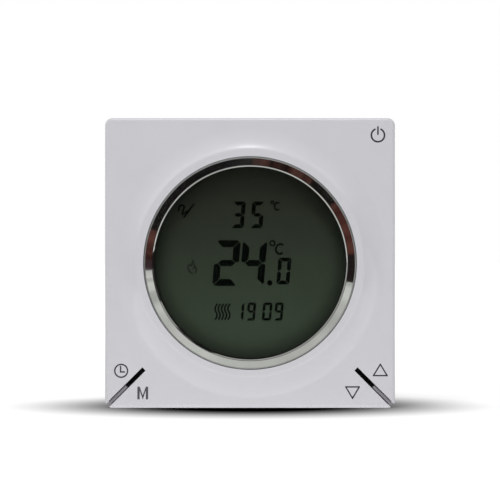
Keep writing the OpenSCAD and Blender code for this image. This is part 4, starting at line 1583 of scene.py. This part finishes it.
@dataclass
class Studio:
    """The white floor, the white surroundings, the lamps, the dark flags and the camera.

    Attributes:
        distance: How far in front the camera stands.
        eye: The camera's height.
        lens: The camera's focal length, in millimetres.
        floor_half: Half of the floor's side.
        floor_gap: The gap between the thermostat and the floor.
        pool_margin: How far the painted shadow oval reaches past the thermostat's sides, front and
            back.
        pool_front: How far in front of the wall the oval's middle lies.
        dome_foot: The height at which the domes end.
        fence_height: The height of the low cards.
        fill: The strength of the surroundings as a light.
        white: The strength of the floor's white.
        own_glow: The share of its own glow in the floor that the camera sees.
        mirror_white: The strength of the floor in mirrors.
        mirror_grey: The strength of the outer dome in mirrors.
    """

    distance: float = 0.6134
    eye: float = 3.84 * MM
    lens: float = 145.8
    floor_half: float = 6.0
    floor_gap: float = 0.05 * MM
    pool_margin: Point = (37 * MM, 35 * MM)
    pool_front: float = 5 * MM
    dome_foot: float = -0.03
    fence_height: float = 60 * MM
    fill: float = 0.40
    white: float = 1.25
    own_glow: float = 0.6
    mirror_white: float = 0.62
    mirror_grey: float = 0.40

    def build(self) -> None:
        """Sets the studio up around the thermostat."""
        self.low, self.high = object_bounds()
        self.camera()
        self.floor(self.low.z - self.floor_gap)
        self.world()
        self.lamps()
        self.flags()

    def camera(self) -> None:
        """Sets the camera straight in front, a little above the middle."""
        data = bpy.data.cameras.new("camera")
        data.lens, data.sensor_width = self.lens, 36
        data.clip_start, data.clip_end = 0.01, 50
        camera = bpy.data.objects.new("camera", data)
        bpy.context.scene.collection.objects.link(camera)
        camera.location = (0, -self.distance, self.eye)
        camera.rotation_euler = (pi / 2, 0, 0)
        bpy.context.scene.camera = camera

    def floor(self, level: float) -> None:
        """Lays the floor, whose own white shows bright enough to melt into the surroundings.

        Args:
            level: The floor's height.
        """
        floor = primitive("floor", bpy.ops.mesh.primitive_plane_add, size=2 * self.floor_half,
                          location=(0, 0, level))
        graph = Graph(bpy.data.materials.new("floor_white"))
        camera = graph.add("LightPath", {}, "Is Camera Ray")
        # The camera sees the floor's white glow with a painted shadow around the thermostat.
        oval, reach = self.contact(graph, camera)
        lit = graph.either(graph.span(camera, low=1.0, high=self.own_glow),
                           graph.add("BsdfDiffuse", {"Color": reach}),
                           graph.add("Emission", {"Strength": oval}))
        plain = graph.add("BsdfDiffuse", {"Color": (0.8, 0.8, 0.8, 1)})
        graph.show(graph.either(graph.seen(), plain, lit))
        graph.owner.cycles.emission_sampling = "NONE"
        floor.data.materials.append(graph.owner)
        floor.visible_shadow = False
        floor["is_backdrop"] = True

    def contact(self, graph: Graph, camera: Socket) -> tuple[Socket, Socket]:
        """Paints a soft shadow on the floor, in an oval around the thermostat's foot, for the
        camera.

        Args:
            graph: The floor material's nodes.
            camera: The socket that is 1 for the rays of the camera.

        Returns:
            The painted shadow from 0 to 1, and the colour that keeps the lit floor white far away
            too.
        """
        across, deep = self.pool_margin
        middle = graph.add("VectorMath", {0: graph.where(), 1: (0, self.pool_front, 0)},
                           operation="ADD")
        far = graph.length(middle, (1 / (self.high.x + across),
                                    1 / ((self.high.y - self.low.y) / 2 + deep), 0))
        mottle = graph.span(graph.noise(graph.where(), 1 / 14, 1), 0.3, 0.7,
                            0.75 * self.mirror_white, 1.25 * self.mirror_white)
        # Painted shadow for the camera: black near the thermostat's foot, white past the oval's
        # edge.
        tone = graph.span(camera, low=mottle, high=graph.span(far, 0.33, soft=True))
        beyond = graph.span(far, 2.0, 10.0, self.white, 2.4 * self.white)
        return tone, graph.math("MULTIPLY", tone, beyond)

    def world(self) -> None:
        """Makes the surroundings white where they are seen and a little dimmer as a light."""
        world = bpy.data.worlds.new("surroundings")
        bpy.context.scene.world = world
        graph = Graph(world)
        graph.feed(graph.tree.nodes["Background"], {
            "Color": (1, 1, 1, 1), "Strength": graph.span(graph.seen(), low=self.fill)})

    def lamps(self) -> None:
        """Hangs a broad front lamp, a key, one under the table and a small one for the collar."""
        self.area("front_lamp", (0.0, -1.6, 0.9), 2.0, 1.4, 3.8)
        self.area("key_lamp", (-0.35, -0.7, 1.55), 0.6, 0.5, 12.7)
        self.area("table_lamp", (0.0, -0.25, -0.28), 0.5, 0.15, 0.62)
        self.area("collar_lamp", (0.0, -1.0, 1.73), 0.30, 0.16, 5.0, mirrored=True)

    @staticmethod
    def area(name: str, at: Triple, width: float, depth: float, watts: float,
             mirrored: bool = False) -> None:
        """Adds a rectangular lamp that points at the thermostat.

        Args:
            name: The lamp's name.
            at: Its place.
            width: Its width.
            depth: Its other side.
            watts: Its power.
            mirrored: Whether mirrors show it.
        """
        data = bpy.data.lights.new(name, "AREA")
        data.shape = "RECTANGLE"
        data.size, data.size_y, data.energy = width, depth, watts
        lamp = bpy.data.objects.new(name, data)
        bpy.context.scene.collection.objects.link(lamp)
        lamp.location = at
        lamp.rotation_euler = (-Vector(at)).to_track_quat("-Z", "Y").to_euler()
        lamp.visible_glossy = mirrored

    def flags(self) -> None:
        """Stands cards around, which only mirrors see, as a studio does for bright metal."""
        dim, grey = 0.16, self.mirror_grey
        self.dome("dark_dome", 0, 70, (0.004, 0.0035, 0.0035))
        self.dome("grey_dome", 70, 100, (grey, grey, grey))
        self.dome("glow_dome", 54.5, 66, (1.6, 1.57, 1.54), radius=2.45, clocks=(-78, 56))
        self.card("dim_card_top", 36, 77, 2.25, 1.8, 0.8, (dim, dim, dim))
        self.card("dim_card_right", 80, 77, 2.25, 1.8, 0.8, (dim, dim, dim))
        self.card("warm_card_top", 22, 47, 2.3, 1.1, 0.6, (0.14, 0.055, 0.046))
        self.card("warm_card_right", 70, 47, 2.3, 0.8, 0.6, (0.11, 0.04, 0.034))
        self.card("warm_card_left", -87, 47, 2.3, 0.3, 0.6, (0.13, 0.05, 0.042))
        self.fence("fence_right", (0.017, 0.012, 0.012),
                   (0.62, 0.045), (0.195, -0.172), (-0.2, -0.321))
        self.fence("fence_left", (0.05, 0.028, 0.032),
                   (-0.2, -0.321), (-0.485, -0.429), (-0.9, -0.3))

    def dome(self, name: str, start: float, end: float, colour: Triple, radius: float = 2.5,
             clocks: Sequence[float] = ()) -> None:
        """Sets up a part of a dome above the floor.

        Args:
            name: The part's name.
            start: The angle off the line of sight at which it starts, in degrees.
            end: The angle at which it ends.
            colour: Its glow.
            radius: Its radius.
            clocks: Where on the clock it starts and ends, in degrees from the top to the right.
        """
        piece = primitive(name, bpy.ops.mesh.primitive_uv_sphere_add, segments=64, ring_count=32,
                          radius=radius)
        near, rear = (-radius * cos(radians(angle)) for angle in (start, end))
        planes = [(Vector((0, rear, 0)), Vector((0, 1, 0)))]
        if start > 0:
            planes.append((Vector((0, near, 0)), Vector((0, -1, 0))))
        planes.append((Vector((0, 0, self.dome_foot)), Vector((0, 0, -1))))
        for side, clock in zip((-1, 1), clocks):
            turn = radians(clock)
            planes.append((Vector(), side * Vector((cos(turn), 0, -sin(turn)))))
        for at, away in planes:
            saw(piece, at, away)
        drop(piece, Element.FACE, lambda c, n: any(
            abs((c - at).dot(away)) < 1e-4 for at, away in planes))
        self.mirror_only(piece, colour)

    def card(self, name: str, clock: float, tilt: float, far: float, width: float, height: float,
             colour: Triple) -> None:
        """Hangs a dim card where the ring mirrors it.

        Args:
            name: The card's name.
            clock: Where on the ring it shows, in degrees from the top to the right.
            tilt: How far off the line of sight it hangs, in degrees.
            far: Its distance.
            width: Its width along the ring.
            height: Its height across the ring.
            colour: Its glow.
        """
        turn, lean = radians(clock), radians(tilt)
        at = far * Vector((sin(lean) * sin(turn), -cos(lean), sin(lean) * cos(turn)))
        piece = primitive(name, bpy.ops.mesh.primitive_grid_add, x_subdivisions=6,
                          y_subdivisions=4, size=1, location=at, scale=(width, height, 1),
                          rotation=(-at).to_track_quat("Z", "Y").to_euler())
        self.mirror_only(piece, colour, streaks=True)

    def fence(self, name: str, colour: Triple, *line: Point) -> None:
        """Stands a low dim card along a line on the floor, in metres to the right and back.

        Args:
            name: The card's name.
            colour: Its glow.
            *line: The points of the line.
        """
        piece = outline(name, [Vector((x, y, self.low.z)) for x, y in line], False, False)
        edit(piece)
        raise_open(Vector((0, 0, self.fence_height)))
        self.mirror_only(piece, colour)

    @staticmethod
    def mirror_only(card: Object, colour: Triple, streaks: bool = False) -> None:
        """Makes a card that only glossy rays see, with a glow that is plain or in soft streaks.

        Args:
            card: The card's mesh.
            colour: Its glow.
            streaks: Whether the glow comes in soft streaks.
        """
        graph = Graph(bpy.data.materials.new(card.name))
        strength = graph.span(graph.noise(graph.where(), 0.25, 2), 0.35, 0.65) if streaks else 1.0
        graph.show(graph.add("Emission", {"Color": (*colour, 1), "Strength": strength}))
        card.data.materials.append(graph.owner)
        card.visible_camera = card.visible_diffuse = card.visible_transmission = False
        card.visible_shadow = card.visible_volume_scatter = False
        card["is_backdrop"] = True


def main() -> None:
    """Builds the thermostat's pieces in order, then the studio."""
    logging.basicConfig(level=logging.INFO, format="%(name)s: %(message)s")
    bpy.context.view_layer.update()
    palette = Palette()
    bpy.context.scene.view_settings.view_transform = "Standard"
    Inside(palette).build(frame["nodes"])
    FrontPanel(palette).build()
    Window(palette).build()
    DisplayMarks(palette).build()
    KeyPrints(palette).build()
    Studio().build()


if __name__ == "__main__":
    main()
